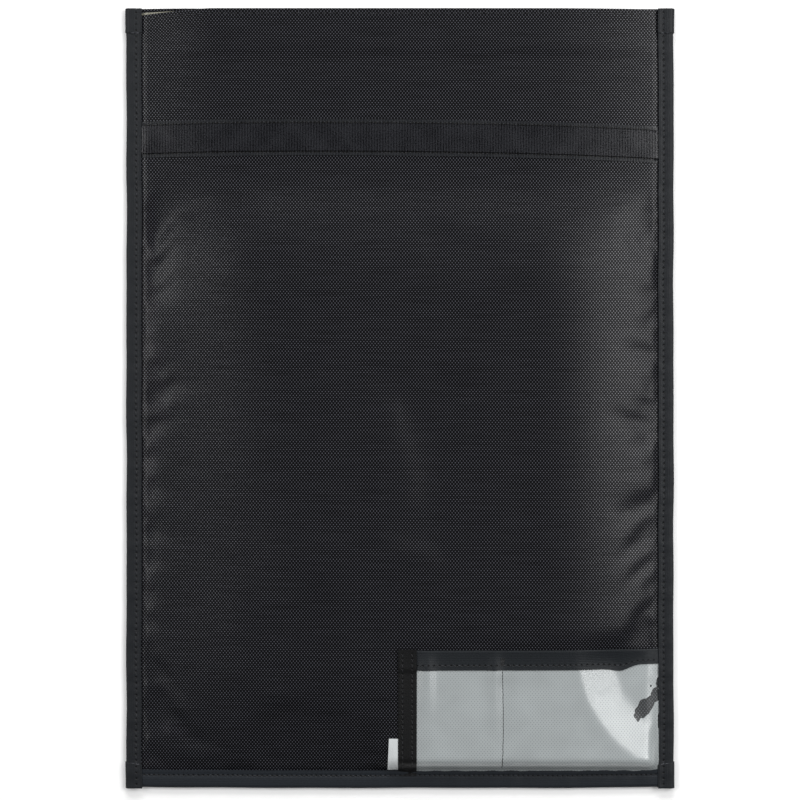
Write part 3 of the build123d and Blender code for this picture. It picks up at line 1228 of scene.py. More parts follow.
@dataclass
class Envelope:
    """The two panels and their linings, each in two pieces that meet in the fold band.

    Attributes:
        layout: The bag's main lines.
        front: The front panel's outer face.
        back: The back panel's outer face.
        palette: The materials.
        shell: Thickness of the nylon.
        lining: Thickness of the lining.
        air: The gap between the two.
        hem: Depth of the turned-in hems.
        hem_radius: Outer radius of the hem's fold.
        tucked: How far the panels reach into the bindings.
        dip: How far the front lip hangs below the back one at its left end.
        dip_length: How far along the lip that goes.
        lip_step: How far it hangs below the back one elsewhere.
        peek: How far the front lining stands out of the lips at their left end.
        peek_length: How far along the lip that goes.
    """

    layout: Layout
    front: Field
    back: Field
    palette: Palette
    shell: float = 0.4 * MM
    lining: float = 0.25 * MM
    air: float = 0.1 * MM
    hem: float = 12 * MM
    hem_radius: float = 0.55 * MM
    tucked: float = 8.5 * MM
    dip: float = 4.0 * MM
    dip_length: float = 48 * MM
    lip_step: float = 0.5 * MM
    peek: float = 1.6 * MM
    peek_length: float = 24 * MM

    def build(self) -> None:
        """Builds every panel and lining."""
        for face in Face:
            for half in Half:
                self._panel(face, half)
                self._lining(face, half)

    @property
    def width(self) -> float:
        """The flat width of a panel or a lining."""
        return 2 * (self.layout.side_inner + self.tucked)

    def _columns(self, step: float) -> np.ndarray:
        """Columns across a panel, closer together beside the bindings."""
        edge = self.layout.side_inner + self.tucked
        furrow, slope = self.layout.side_inner - 6 * MM, self.layout.side_inner - 44 * MM
        return spaced((-edge, -furrow, -slope, slope, furrow, edge),
                      (step * 0.25, step * 0.6, step, step * 0.6, step * 0.25))

    def _rows(self, half: Half, step: float, end: float) -> np.ndarray:
        """Rows along one half of a panel, close together where it turns over its crease."""
        crease = self.layout.crease(half)
        low, high = crease.y - crease.reach - 1 * MM, crease.y + crease.reach + 1 * MM
        if half is Half.LOWER:
            start = self.layout.bottom_inner - self.tucked
            furrow = self.layout.bottom_inner + 6 * MM
            return spaced((start, furrow, furrow + 50 * MM, low, high, end),
                          (step * 0.25, step * 0.6, step, 0.45 * MM, step))
        return spaced((self.layout.seam, low, high, end), (step, 0.45 * MM, step))

    def _nodes(self, face: Face, half: Half, layer: str) -> list[str]:
        """The CAD nodes that a piece stands for."""
        part = f"{face.name.lower()}_{layer}"
        return [part, f"fold_{part}"] if half is Half.LOWER else [f"lip_{part}"]

    def lip_shift(self, x: np.ndarray, y: np.ndarray) -> np.ndarray:
        """How far the front lip sinks below the back one, most at its left end."""
        near_lip = ease((y - self.layout.upper.y - 6 * MM) / (24 * MM))
        from_left = np.clip((x + self.layout.side_inner) / self.dip_length, 0, 1)
        return near_lip * (self.lip_step + self.dip * (1 - from_left) ** 1.3)

    def _peeking(self, x: np.ndarray, y: np.ndarray) -> np.ndarray:
        """How far the front lining is pulled up out of its hem, most at its left end."""
        near_lip = ease((y - self.layout.upper.y - 6 * MM) / (12 * MM))
        from_left = (x + self.layout.side_inner) / self.peek_length
        raised = self.hem - 1 * MM + self.peek * (1 - from_left)
        return near_lip * raised * (1 - ease((from_left - 1) / 0.5))

    def _panel(self, face: Face, half: Half) -> None:
        """One half of a shell, with its hem turned in at the mouth."""
        plan = self.layout
        rows = self._rows(half, 3 * MM, plan.seam if half is Half.LOWER else plan.top - 4 * MM)
        if half is Half.UPPER:
            around = np.linspace(0, math.pi * self.hem_radius, 7)
            fold = plan.top - self.hem_radius + around
            last = fold[-1] + self.hem
            rows = np.concatenate([rows[:-1], spaced((rows[-1], fold[0]), (1 * MM,))[:-1], fold,
                                   spaced((fold[-1], last), (2 * MM,))[1:]])
        panel = add_grid(f"{face.name.lower()}_panel_{half.value}", self._columns(3.2 * MM), rows)
        where = points(panel)
        along, drop = folded(where[:, 1], plan.top, self.hem_radius)
        surface = self.front if face is Face.FRONT else self.back
        where[:, 2] = surface(where[:, 0], along) - face.value * drop
        shift = self.lip_shift(where[:, 0], along) if face is Face.FRONT else 0.0
        where[:, 1] = along - shift
        place(panel, where)
        if face is Face.BACK:
            edit(panel, bpy.ops.mesh.flip_normals)
        thicken(panel, self.shell)
        smooth(panel)
        finish_piece(panel, self.palette.shell, self._nodes(face, half, "shell"))
        plan.crease(half).bend(panel)

    def _lining(self, face: Face, half: Half) -> None:
        """One half of a lining, inside its shell."""
        plan = self.layout
        end = plan.seam if half is Half.LOWER else plan.top - self.hem + 1 * MM
        rows = self._rows(half, 3 * MM, end)
        lining = add_grid(f"{face.name.lower()}_lining_{half.value}", self._columns(3.2 * MM), rows)
        surface = self.front if face is Face.FRONT else self.back
        where = points(lining)
        where[:, 2] = surface(where[:, 0], where[:, 1]) - face.value * (self.shell + self.air)
        if face is Face.FRONT:
            where[:, 1] += self._peeking(where[:, 0], where[:, 1])
            where[:, 1] -= self.lip_shift(where[:, 0], where[:, 1])
        place(lining, where)
        if face is Face.BACK:
            edit(lining, bpy.ops.mesh.flip_normals)
        thicken(lining, self.lining)
        smooth(lining)
        finish_piece(lining, self.palette.lining, self._nodes(face, half, "lining"))
        plan.crease(half).bend(lining)


@dataclass(frozen=True)
class Seam:
    """A row of stitches: one stitch is modelled, then repeated along a line.

    The needle's holes lie at whole multiples of the pitch from the middle of the bag, so that they
    match the holes in the tape, and each stitch lies between two of them.

    Attributes:
        pitch: The distance from one stitch to the next.
        length: A stitch's length.
        width: A stitch's width.
        height: How far a stitch stands up.
    """

    pitch: float = 4.1 * MM
    length: float = 2.9 * MM
    width: float = 0.62 * MM
    height: float = 0.42 * MM

    def row(self, name: str, across: float, span: tuple[float, float], upright: bool = False) -> Object:
        """Models a straight row at zero height.

        Args:
            name: The row's name.
            across: Where the row lies: its Y, or its X if it is upright.
            span: Where it starts and ends along the other axis.
            upright: Whether it runs along Y.

        Returns:
            The row.
        """
        first, last = math.ceil(span[0] / self.pitch), math.floor(span[1] / self.pitch)
        count = max(1, last - first)
        deselect()
        bpy.ops.mesh.primitive_uv_sphere_add(segments=8, ring_count=6, radius=0.5)
        stitch = bpy.context.active_object
        stitch.name = stitch.data.name = name
        edit(stitch, lambda: bpy.ops.transform.resize(value=(self.length, self.width, self.height * 2)))
        apply_modifier(stitch, "ARRAY", count=count, use_relative_offset=False,
                       use_constant_offset=True, constant_offset_displace=(self.pitch, 0.0, 0.0))
        where = points(stitch)
        number = np.arange(len(where)) // (len(where) // count)
        draw = np.random.default_rng(count)
        sway = draw.uniform(-0.12, 0.12, (count, 2))[number] * MM
        lean = draw.uniform(-0.07, 0.07, count)[number]
        where[:, 1] += sway[:, 1] + (where[:, 0] - number * self.pitch) * lean + across
        where[:, 0] += sway[:, 0] + (first + 0.5) * self.pitch
        if upright:
            where[:, :2] = where[:, 1::-1]
            place(stitch, where)
            edit(stitch, bpy.ops.mesh.flip_normals)
        place(stitch, where)
        smooth(stitch)
        return stitch


@dataclass
class SideBinding:
    """The tape folded over one side's edges, with its stitches and its two tucked ends.

    Attributes:
        layout: The bag's main lines.
        side: Which side it is on.
        palette: The materials.
        outer: How far the tape's fold stays inside the bag's outline, where the tucks reach.
        top_face: Height of the front leaf's face.
        radius: Outer radius of the fold.
        thickness: The tape's thickness.
        inset: Distance from the inner edge to the stitches.
        dimple: How deep the stitches press the tape in.
        crinkle: How far the front leaf waves up and down.
        tuck_length: Length of the tucked end at the mouth.
        foot_length: Length of the tucked end at the bottom.
        slant: How far the bottom tuck's edge is out of square.
        seam: The stitches.
        tuck_seam: The stitches across the tucked ends.
    """

    layout: Layout
    side: Side
    palette: Palette
    outer: float = 0.7 * MM
    top_face: float = 4.6 * MM
    radius: float = 2.1 * MM
    thickness: float = 0.65 * MM
    inset: float = 3.5 * MM
    dimple: float = 0.42 * MM
    crinkle: float = 0.22 * MM
    tuck_length: float = 17 * MM
    foot_length: float = 17.5 * MM
    slant: float = 1.6 * MM
    seam: Seam = Seam(pitch=4.1 * MM)
    tuck_seam: Seam = Seam(pitch=3.0 * MM, length=3.0 * MM, width=0.35 * MM, height=0.3 * MM)

    @property
    def label(self) -> str:
        """The side's name in lower case."""
        return self.side.name.lower()

    def wander(self, y: np.ndarray) -> np.ndarray:
        """How far the binding strays inwards and outwards along the bag."""
        phase = 0.9 if self.side is Side.LEFT else 2.7
        return 0.35 * MM * ripple(y, (210 * MM, 83 * MM, 57 * MM), phase)

    def _strip(self, name: str, rows: np.ndarray, grown: float, inner_grown: float) -> Object:
        """Tape folded over the edge.

        Args:
            name: The piece's name.
            rows: Its rows along the bag.
            grown: How far it lies outside the first layer of tape.
            inner_grown: How much wider its leaves are.

        Returns:
            The folded tape, with its thickness.
        """
        plan = self.layout
        inner = plan.side_inner - inner_grown
        edge = plan.half_width - self.outer + grown
        radius = self.radius + grown
        flat = wrap_stations(edge - radius - inner, radius, 0.9 * MM, 9)
        tape = add_grid(name, flat, rows)
        where = points(tape)
        lay_pattern(tape, where[:, :2])
        across, drop = folded(where[:, 0] + inner, edge, radius)
        where[:, 0] = self.side.value * (across + self.wander(where[:, 1]))
        stitched = 0.75 + 0.25 * np.cos(2 * math.pi * where[:, 1] / self.seam.pitch)
        pressed = self.dimple * stitched * np.exp(-(((across - inner - self.inset) / (1.3 * MM)) ** 2))
        where[:, 2] = self.top_face + grown - drop - pressed * np.where(drop > radius, -1, 1)
        waved = self.crinkle * ripple(where[:, 1], (17 * MM, 11 * MM, 29 * MM), 1.7 + grown / MM)
        where[:, 2] += waved * (drop < radius) * ease((across - inner) / (3 * MM))
        place(tape, where)
        if self.side is Side.LEFT:
            edit(tape, bpy.ops.mesh.flip_normals)
        thicken(tape, self.thickness)
        return tape

    def _nodes(self, half: Half, part: str) -> list[str]:
        """The CAD nodes that a piece stands for."""
        name = f"{self.label}_{part}"
        return [name, f"fold_{name}"] if half is Half.LOWER else [f"lip_{name}"]

    def _span(self, half: Half) -> tuple[float, float]:
        """Where one half of the binding starts and ends."""
        plan = self.layout
        return (plan.bottom, plan.seam) if half is Half.LOWER else (plan.seam, plan.top)

    def build(self) -> None:
        """Builds both halves, their stitches and the tucked ends."""
        for half in Half:
            crease = self.layout.crease(half)
            low, high = self._span(half)
            rows = spaced((low, crease.y - 6 * MM, crease.y + 6 * MM, high), (1 * MM, 0.5 * MM, 1 * MM))
            tape = self._strip(f"{self.label}_binding_{half.value}", rows, 0.0, 0.0)
            smooth(tape)
            finish_piece(tape, self.palette.side_tape, self._nodes(half, "binding"))
            crease.bend(tape)
            self._stitches(half, low, high)
        self._tuck("lip", self.layout.top - self.tuck_length, self.layout.top, "lip_band")
        self._tuck("bottom", self.layout.bottom, self.layout.bottom + self.foot_length, "bag")

    def _stitches(self, half: Half, low: float, high: float) -> None:
        """The row of stitches down the front leaf, and the same row on the back leaf."""
        x = self.side.value * (self.layout.side_inner + self.inset)
        back_height = self.top_face - 2 * self.radius
        rows = []
        for face, height in (("front", self.top_face), ("back", back_height)):
            row = self.seam.row(f"stitches_{face}", x, (low + 1 * MM, high), upright=True)
            where = points(row)
            where[:, 0] += self.side.value * self.wander(where[:, 1])
            where[:, 2] += height - self.dimple * (1 if face == "front" else -1)
            place(row, where)
            rows.append(row)
        stitches = join(f"{self.label}_binding_stitches_{half.value}", rows)
        finish_piece(stitches, self.palette.thread, self._nodes(half, "binding_stitches"))
        self.layout.crease(half).bend(stitches)

    def _tuck(self, end: str, low: float, high: float, body: str) -> None:
        """The binding's end, folded back over itself and sewn down."""
        rows = spaced((low, high), (1.2 * MM,))
        tape = self._strip(f"{self.label}_binding_tuck_{end}", rows, self.outer, 0.5 * MM)
        middle = (self.layout.side_inner + self.layout.half_width) / 2
        if end == "bottom":
            where = points(tape)
            skew = (np.abs(where[:, 0]) - middle) / (5 * MM) * self.slant / 2
            where[:, 1] += skew * (where[:, 1] - low) / (high - low)
            place(tape, where)
        apply_modifier(tape, "BEVEL", width=0.25 * MM, segments=2, limit_method="ANGLE")
        smooth(tape)
        finish_piece(tape, self.palette.tuck_tape, body=body)
        edge = low if end == "lip" else high
        ends = sorted(self.side.value * (middle + reach) for reach in (-4.6 * MM, 4.6 * MM))
        thread = self.tuck_seam.row(f"{self.label}_tuck_thread_{end}", edge, ends)
        where = points(thread)
        if end == "bottom":
            where[:, 1] += (np.abs(where[:, 0]) - middle) / (5 * MM) * self.slant / 2
        where[:, 2] += self.top_face + self.outer - 0.05 * MM
        place(thread, where)
        finish_piece(thread, self.palette.end_thread, body=body)


@dataclass
class BottomBinding:
    """The tape folded over the bottom edges, and its stitches.

    Attributes:
        layout: The bag's main lines.
        palette: The materials.
        top_face: Height of the front leaf's face.
        radius: Outer radius of the fold.
        thickness: The tape's thickness.
        inset: Distance from the inner edge to the stitches.
        dimple: How deep the stitches press the tape in.
        crinkle: How far the front leaf waves up and down.
        seam: The stitches.
    """

    layout: Layout
    palette: Palette
    top_face: float = 4.6 * MM
    radius: float = 2.1 * MM
    thickness: float = 0.65 * MM
    inset: float = 3.5 * MM
    dimple: float = 0.4 * MM
    crinkle: float = 0.18 * MM
    seam: Seam = Seam(pitch=3.4 * MM, length=2.3 * MM)

    def sway(self, x: np.ndarray) -> np.ndarray:
        """How far the binding strays along the bag, higher towards the corners."""
        share = np.abs(x) / self.layout.side_inner
        return 0.8 * MM * share**6 + 0.2 * MM * ripple(x, (150 * MM, 67 * MM), 0.4)

    def build(self) -> None:
        """Builds the tape and its stitches."""
        plan = self.layout
        edge = -plan.bottom
        flat = wrap_stations(edge - self.radius + plan.bottom_inner, self.radius, 0.9 * MM, 9)
        end = plan.side_inner + 5 * MM
        tape = add_grid("bottom_binding_tape", flat, spaced((-end, end), (1.5 * MM,)))
        where = points(tape)
        across, drop = folded(where[:, 0] - plan.bottom_inner, edge, self.radius)
        along = where[:, 1].copy()
        where[:, 0] = along
        where[:, 1] = -across + self.sway(along)
        pressed = self.dimple * np.exp(-(((across + plan.bottom_inner - self.inset) / (1.3 * MM)) ** 2))
        where[:, 2] = self.top_face - drop - pressed * np.where(drop > self.radius, -1, 1)
        where[:, 2] += self.crinkle * ripple(along, (19 * MM, 13 * MM, 37 * MM), 0.8) * (drop < self.radius)
        place(tape, where)
        thicken(tape, self.thickness)
        smooth(tape)
        finish_piece(tape, self.palette.bottom_tape, ["bottom_binding"], "bag")
        self._stitches()

    def _stitches(self) -> None:
        """A row of stitches on each leaf."""
        plan = self.layout
        y = plan.bottom_inner - self.inset
        rows = []
        for face, height in (("front", self.top_face), ("back", self.top_face - 2 * self.radius)):
            row = self.seam.row(f"stitches_{face}", y, (-plan.side_inner, plan.side_inner))
            where = points(row)
            where[:, 1] += self.sway(where[:, 0])
            where[:, 2] += height - self.dimple * (1 if face == "front" else -1)
            place(row, where)
            rows.append(row)
        stitches = join("bottom_binding_stitch_rows", rows)
        finish_piece(stitches, self.palette.thread, ["bottom_binding_stitches"], "bag")


@dataclass
class FastenerTape:
    """Hook or loop tape: pile between two woven edges, sewn down along both.

    Attributes:
        layout: The bag's main lines.
        node: The CAD node that it stands for.
        face: Which panel it is on.
        surface: That panel's outer face.
        material: The tape's material.
        palette: The other materials.
        body: The body that it rides on.
        selvedge: Width of a flat woven edge.
        shoulder: How far the pile takes to rise beside it.
        edge_height: How far the woven edges stand off the panel.
        pile_height: How far the pile does.
        fuzz: How uneven the pile is.
        thickness: The tape's thickness.
        bow_terms: The tape's shift along the bag, level, rising and curved, by the share across it.
        seam: The stitches.
    """

    layout: Layout
    node: str
    face: Face
    surface: Field
    material: Material
    palette: Palette
    body: str
    selvedge: float = 2.6 * MM
    shoulder: float = 0.5 * MM
    edge_height: float = 0.55 * MM
    pile_height: float = 1.2 * MM
    fuzz: float = 0.09 * MM
    thickness: float = 0.45 * MM
    bow_terms: tuple[float, float, float] = (-2.1 * MM, -1.7 * MM, -2.9 * MM)
    seam: Seam = Seam(pitch=2.8 * MM, length=1.9 * MM, width=0.5 * MM, height=0.3 * MM)

    def bow(self, x: np.ndarray) -> np.ndarray:
        """How far the tape strays from straight: it sinks a little towards both ends."""
        share = x / self.layout.side_inner
        level, rise, curve = self.bow_terms
        return curve * share**2 + rise * share + level

    def build(self) -> None:
        """Builds the tape and its stitches."""
        low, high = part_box(self.node)
        end = self.layout.side_inner - 0.2 * MM
        edges = (0.0, self.selvedge, self.selvedge + self.shoulder)
        width = high[1] - low[1]
        rows = np.concatenate([edges, spaced((edges[-1], width - edges[-1]), (2 * MM,))[1:-1],
                               [width - edge for edge in reversed(edges)]])
        tape = add_grid(f"{self.node}_strip", spaced((-end, end), (2 * MM,)), rows)
        where = points(tape)
        lay_pattern(tape, where[:, 1::-1])
        inside = np.minimum(where[:, 1], width - where[:, 1])
        pile = self.pile_height - self.edge_height
        height = self.edge_height + pile * ease((inside - self.selvedge) / self.shoulder)
        tufts = ripple(where[:, 0], (5.3 * MM, 3.7 * MM), 1.0)
        tufts = tufts * ripple(where[:, 1], (7 * MM, 4.3 * MM), 2.0)
        height += self.fuzz * tufts * (inside > self.selvedge)
        where[:, 1] += low[1]
        if self.face is Face.FRONT:
            where[:, 1] += self.bow(where[:, 0])
        where[:, 2] = self.surface(where[:, 0], where[:, 1]) + self.face.value * height
        place(tape, where)
        if self.face is Face.BACK:
            edit(tape, bpy.ops.mesh.flip_normals)
        thicken(tape, self.thickness)
        smooth(tape)
        finish_piece(tape, self.material, [self.node], self.body)
        self._stitches(low[1], high[1], end)

    def _stitches(self, low: float, high: float, end: float) -> None:
        """The two rows of stitches."""
        rows = []
        for y in (low + self.selvedge - 0.5 * MM, high - self.selvedge + 0.5 * MM):
            row = self.seam.row("stitches", y, (-end, end))
            where = points(row)
            if self.face is Face.FRONT:
                where[:, 1] += self.bow(where[:, 0])
            lift = self.surface(where[:, 0], where[:, 1]) + self.face.value * self.edge_height
            where[:, 2] = where[:, 2] + lift
            place(row, where)
            rows.append(row)
        stitches = join(f"{self.node}_stitch_rows", rows)
        finish_piece(stitches, self.palette.thread, [f"{self.node}_stitches"], self.body)


@dataclass(frozen=True)
class Buckle:
    """A long ridge that stands up in stiff film beside one of its seams.

    Attributes:
        offset: Its crest's distance from the seam.
        width: Half its width.
        height: How far it stands up.
    """

    offset: float
    width: float
    height: float

    def lift(self, gap: np.ndarray) -> np.ndarray:
        """Its height at a distance to the right of the seam."""
        return self.height * np.exp(-(((gap - self.offset) / self.width) ** 2))


@dataclass
class CardPocket:
    """The clear pocket: film, a tape over its top edge, a tape over its left edge and a divider.

    Attributes:
        layout: The bag's main lines.
        front: The front panel's outer face.
        palette: The materials.
        film: The film's thickness.
        tape: The tapes' thickness.
        under_bindings: How far the film and its tapes reach under the bag's bindings.
        seam: The top tape's stitches.
        side_seam: The left tape's stitches.
        divider_seam: The divider's stitches.
        tack: The stitches across the divider's top end.
        tack_bars: How many of those there are.
        top_stitch_inset: Distance from the top tape's lower edge to its stitches.
        side_stitch_insets: Distances from the left tape's right edge to its stitches.
        climb: How far the left tape's front leaf rises over the top tape.
        lift: How far the film stands off the panel at its left edge, and how much further inside.
        lift_length: How far across the film that goes.
        wave: How far the film waves.
        pinch: The share of its lift that the divider takes away.
        pinch_width: How far to each side it does.
        right_edge: How far from the right binding the film is drawn down.
        bottom_edge: How far from the bottom binding it is.
        tape_buckle: The ridge beside the left tape.
        divider_buckle: The ridge beside the divider.
        buckle_span: How far below the top tape the ridges start, and how far on they are full.
    """

    layout: Layout
    front: Field
    palette: Palette
    film: float = 0.35 * MM
    tape: float = 0.5 * MM
    under_bindings: float = 4 * MM
    seam: Seam = Seam(pitch=3.9 * MM, length=2.7 * MM, width=0.55 * MM)
    side_seam: Seam = Seam(pitch=3.5 * MM, length=2.5 * MM, width=0.55 * MM)
    divider_seam: Seam = Seam(pitch=2.2 * MM, length=2.5 * MM, width=0.5 * MM, height=0.3 * MM)
    tack: Seam = Seam(pitch=0.8 * MM, length=2.6 * MM, width=0.5 * MM, height=0.3 * MM)
    tack_bars: int = 6
    top_stitch_inset: float = 3.4 * MM
    side_stitch_insets: tuple[float, float] = (3.0 * MM, 9.6 * MM)
    climb: float = 0.75 * MM
    lift: tuple[float, float] = (0.25 * MM, 0.65 * MM)
    lift_length: float = 24 * MM
    wave: float = 0.3 * MM
    pinch: float = 0.75
    pinch_width: float = 7 * MM
    right_edge: float = 10 * MM
    bottom_edge: float = 9 * MM
    tape_buckle: Buckle = Buckle(offset=7 * MM, width=5.5 * MM, height=2.2 * MM)
    divider_buckle: Buckle = Buckle(offset=-5.5 * MM, width=4.2 * MM, height=1.9 * MM)
    buckle_span: tuple[float, float] = (62 * MM, 55 * MM)

    def __post_init__(self) -> None:
        """Reads the pocket's lines from the frame."""
        top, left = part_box("pocket_top_binding"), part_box("pocket_left_binding")
        self.top_outer, self.top_inner = top[1][1], top[0][1]
        self.left_outer, self.left_inner = left[0][0], left[1][0]
        self.divider = (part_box("pocket_divider_seam")[0][0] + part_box("pocket_divider_seam")[1][0]) / 2

    def stand_off(self, x: np.ndarray, y: np.ndarray) -> np.ndarray:
        """How far the film stands off the front panel."""
        from_right = self.layout.side_inner - x
        from_bottom = y - self.layout.bottom_inner
        lift = self.lift[0] + self.lift[1] * ease((x - self.left_outer) / self.lift_length)
        lift = lift + self.wave * ripple(x, (93 * MM, 61 * MM), 2.2) * ease(from_bottom / (60 * MM))
        below = ease((self.top_inner - y) / (12 * MM))
        pinched = 1 - self.pinch * np.exp(-(((x - self.divider) / self.pinch_width) ** 2)) * below
        drawn = np.minimum(ease(from_right / self.right_edge), ease(from_bottom / self.bottom_edge))
        held = ease(from_bottom / (7 * MM)) * ease(from_right / (5 * MM))
        return 0.1 * MM + lift * pinched * drawn + self.ridges(x, y) * held

    def ridges(self, x: np.ndarray, y: np.ndarray) -> np.ndarray:
        """The buckles beside the left tape and the divider, which fade out in the top tape."""
        above = y - self.top_inner
        full = ease((above + self.buckle_span[0]) / self.buckle_span[1])
        full = full * (1 - 0.8 * ease(above / (self.top_outer - self.top_inner)))
        beside_divider = self.divider_buckle.lift(x - self.divider)
        return full * (beside_divider + self.tape_buckle.lift(x - self.left_inner))

    def surface(self, x: np.ndarray, y: np.ndarray) -> np.ndarray:
        """The height of the film's lower face."""
        return self.front(x, y) + self.stand_off(x, y)

    def build(self) -> None:
        """Builds the film, its tapes and its seams."""
        self._film()
        self._top_tape()
        self._left_tape()
        self._divider()

    def _film(self) -> None:
        """The film, which ends under the bag's own bindings."""
        plan = self.layout
        xs = spaced((self.left_outer + 1.2 * MM, plan.side_inner + self.under_bindings), (1.4 * MM,))
        ys = spaced((plan.bottom_inner - self.under_bindings, self.top_outer - 1.2 * MM), (1.4 * MM,))
        film = add_grid("pocket_film", xs, ys)
        where = points(film)
        where[:, 2] = self.surface(where[:, 0], where[:, 1]) + self.film
        place(film, where)
        thicken(film, self.film)
        smooth(film)
        finish_piece(film, self.palette.film, ["pocket_window"], "bag")

    @property
    def fold_radius(self) -> float:
        """Outer radius of a tape's fold over the film's edge."""
        return self.tape + self.film / 2 + 0.1 * MM

    def _wrap(self, width: float) -> np.ndarray:
        """Stations across a tape folded over the film's edge, from its front edge to its back one."""
        return wrap_stations(width - self.fold_radius, self.fold_radius, 1.1 * MM, 7)

    def _top_tape(self) -> None:
        """The tape along the pocket's mouth."""
        plan = self.layout
        flat = self._wrap(self.top_outer - self.top_inner)
        end = plan.side_inner + self.under_bindings - 1 * MM
        tape = add_grid("pocket_top_tape", flat, spaced((self.left_inner - 3 * MM, end), (1.4 * MM,)))
        where = points(tape)
        across, drop = folded(where[:, 0] + self.top_inner, self.top_outer, self.fold_radius)
        along = where[:, 1].copy()
        where[:, 0] = along
        where[:, 1] = across + self._top_wave(along, across)
        lift = self.surface(along, across) + self.film + self.tape
        where[:, 2] = lift + 0.05 * MM - drop
        place(tape, where)
        edit(tape, bpy.ops.mesh.flip_normals)
        thicken(tape, self.tape)
        smooth(tape)
        finish_piece(tape, self.palette.pocket_top_tape, ["pocket_top_binding"], "bag")
        y = self.top_inner + self.top_stitch_inset
        row = self.seam.row("pocket_top_stitch_row", y, (self.left_inner, plan.side_inner))
        where = points(row)
        where[:, 1] += self._top_wave(where[:, 0], where[:, 1])
        where[:, 2] += self.surface(where[:, 0], where[:, 1]) + self.film + self.tape
        place(row, where)
        finish_piece(row, self.palette.thread, ["pocket_top_stitches"], "bag")

    def _top_wave(self, x: np.ndarray, y: np.ndarray) -> np.ndarray:
        """How far the tape's lower edge strays: down in a small dip, then up at its right end."""
        edge = (self.top_outer - y) / (self.top_outer - self.top_inner)
        end = self.layout.side_inner
        risen = 3.2 * MM * ease((x - end + 27 * MM) / (16 * MM))
        dip = 1.3 * MM * np.exp(-(((x - end + 28 * MM) / (6 * MM)) ** 2))
        return (risen - dip) * np.clip(edge, 0, 1)

    def over_top(self, y: np.ndarray, front_leaf: Any) -> np.ndarray:
        """How far the left tape lies off the film: its front leaf climbs over the top tape."""
        return 0.1 * MM + self.climb * ease((y - self.top_inner + 2 * MM) / (3 * MM)) * front_leaf

    def _left_tape(self) -> None:
        """The tape along the film's left edge, with its top end turned under."""
        plan = self.layout
        flat = self._wrap(self.left_inner - self.left_outer)
        low = plan.bottom_inner - self.under_bindings
        tape = add_grid("pocket_left_tape", flat, spaced((low, self.top_outer + 0.6 * MM), (1.4 * MM,)))
        where = points(tape)
        across, drop = folded(where[:, 0] - self.left_inner, -self.left_outer, self.fold_radius)
        where[:, 0] = -across
        lift = self.surface(where[:, 0], where[:, 1]) + self.film + self.tape
        where[:, 2] = lift + self.over_top(where[:, 1], drop < self.fold_radius) - drop
        place(tape, where)
        edit(tape, bpy.ops.mesh.flip_normals)
        thicken(tape, self.tape)
        smooth(tape)
        finish_piece(tape, self.palette.pocket_left_tape, ["pocket_left_binding"], "bag")
        rows = []
        span = (plan.bottom_inner, self.top_outer - 1 * MM)
        for inset in self.side_stitch_insets:
            row = self.side_seam.row("stitches", self.left_inner - inset, span, upright=True)
            where = points(row)
            where[:, 2] += self.surface(where[:, 0], where[:, 1]) + self.film + self.tape
            where[:, 2] += self.over_top(where[:, 1], True)
            place(row, where)
            rows.append(row)
        stitches = join("pocket_left_stitch_rows", rows)
        finish_piece(stitches, self.palette.thread, ["pocket_left_stitches"], "bag")

    def _divider(self) -> None:
        """The seam that divides the pocket, and the bar tack where it ends on the top tape."""
        plan = self.layout
        span = (plan.bottom_inner, self.top_inner)
        seam = self.divider_seam.row("divider", self.divider, span, upright=True)
        where = points(seam)
        where[:, 0] += 0.7 * MM * np.sin(math.pi * (where[:, 1] - plan.bottom_inner) / (70 * MM)) - 0.3 * MM
        where[:, 2] += self.surface(where[:, 0], where[:, 1]) + self.film
        place(seam, where)
        bars = []
        for step in range(self.tack_bars):
            y = self.top_inner + (3.5 + step * 0.9) * MM
            bar = self.tack.row("bar", y, (self.divider - 1.6 * MM, self.divider + 1.2 * MM))
            where = points(bar)
            where[:, 2] += self.surface(where[:, 0], where[:, 1]) + self.film + self.tape + 0.05 * MM
            place(bar, where)
            bars.append(bar)
        divider = join("pocket_divider_stitches", [seam, *bars])
        # Painted shade: near-black thread for the shade of the fold at the bar tack.
        finish_piece(divider, self.palette.fold_shade_thread, ["pocket_divider_seam"], "bag")


@dataclass
class CareLabel:
    """A blank white woven label, whose right edge is caught under the pocket's left tape.

    Attributes:
        front: The front panel's outer face.
        palette: The materials.
        thickness: The ribbon's thickness.
        caught: How far it reaches under the tape.
        turn: Half the width of ribbon that turns at the tape's edge.
        flare: How much further out its lower end reaches.
    """

    front: Field
    palette: Palette
    thickness: float = 0.22 * MM
    caught: float = 6.0 * MM
    turn: float = 0.7 * MM
    flare: float = 1.0 * MM

    def build(self) -> None:
        """Builds the label, which turns up along the tape's edge."""
        low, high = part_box("care_label")
        xs = spaced((low[0], high[0] - self.turn, high[0] + self.turn, high[0] + self.caught),
                    (0.6 * MM, 0.15 * MM, 1.0 * MM))
        ys = spaced((low[1], high[1]), (1.0 * MM,))
        label = add_grid("care_label_ribbon", xs, ys)
        where = points(label)
        share = np.clip((high[0] - where[:, 0]) / (high[0] - low[0]), 0, 1)
        down = (high[1] - where[:, 1]) / (high[1] - low[1])
        where[:, 0] -= self.flare * share * down
        curl = 0.8 * MM * share**2 + 0.2 * MM * share * np.sin(down * 7)
        sunk = 0.3 * MM * ease((where[:, 0] - high[0]) / (2 * MM))
        where[:, 2] = self.front(where[:, 0], where[:, 1]) + 0.35 * MM + self.thickness + curl - sunk
        place(label, where)
        thicken(label, self.thickness)
        smooth(label)
        finish_piece(label, self.palette.label, ["care_label"])
        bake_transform(label)


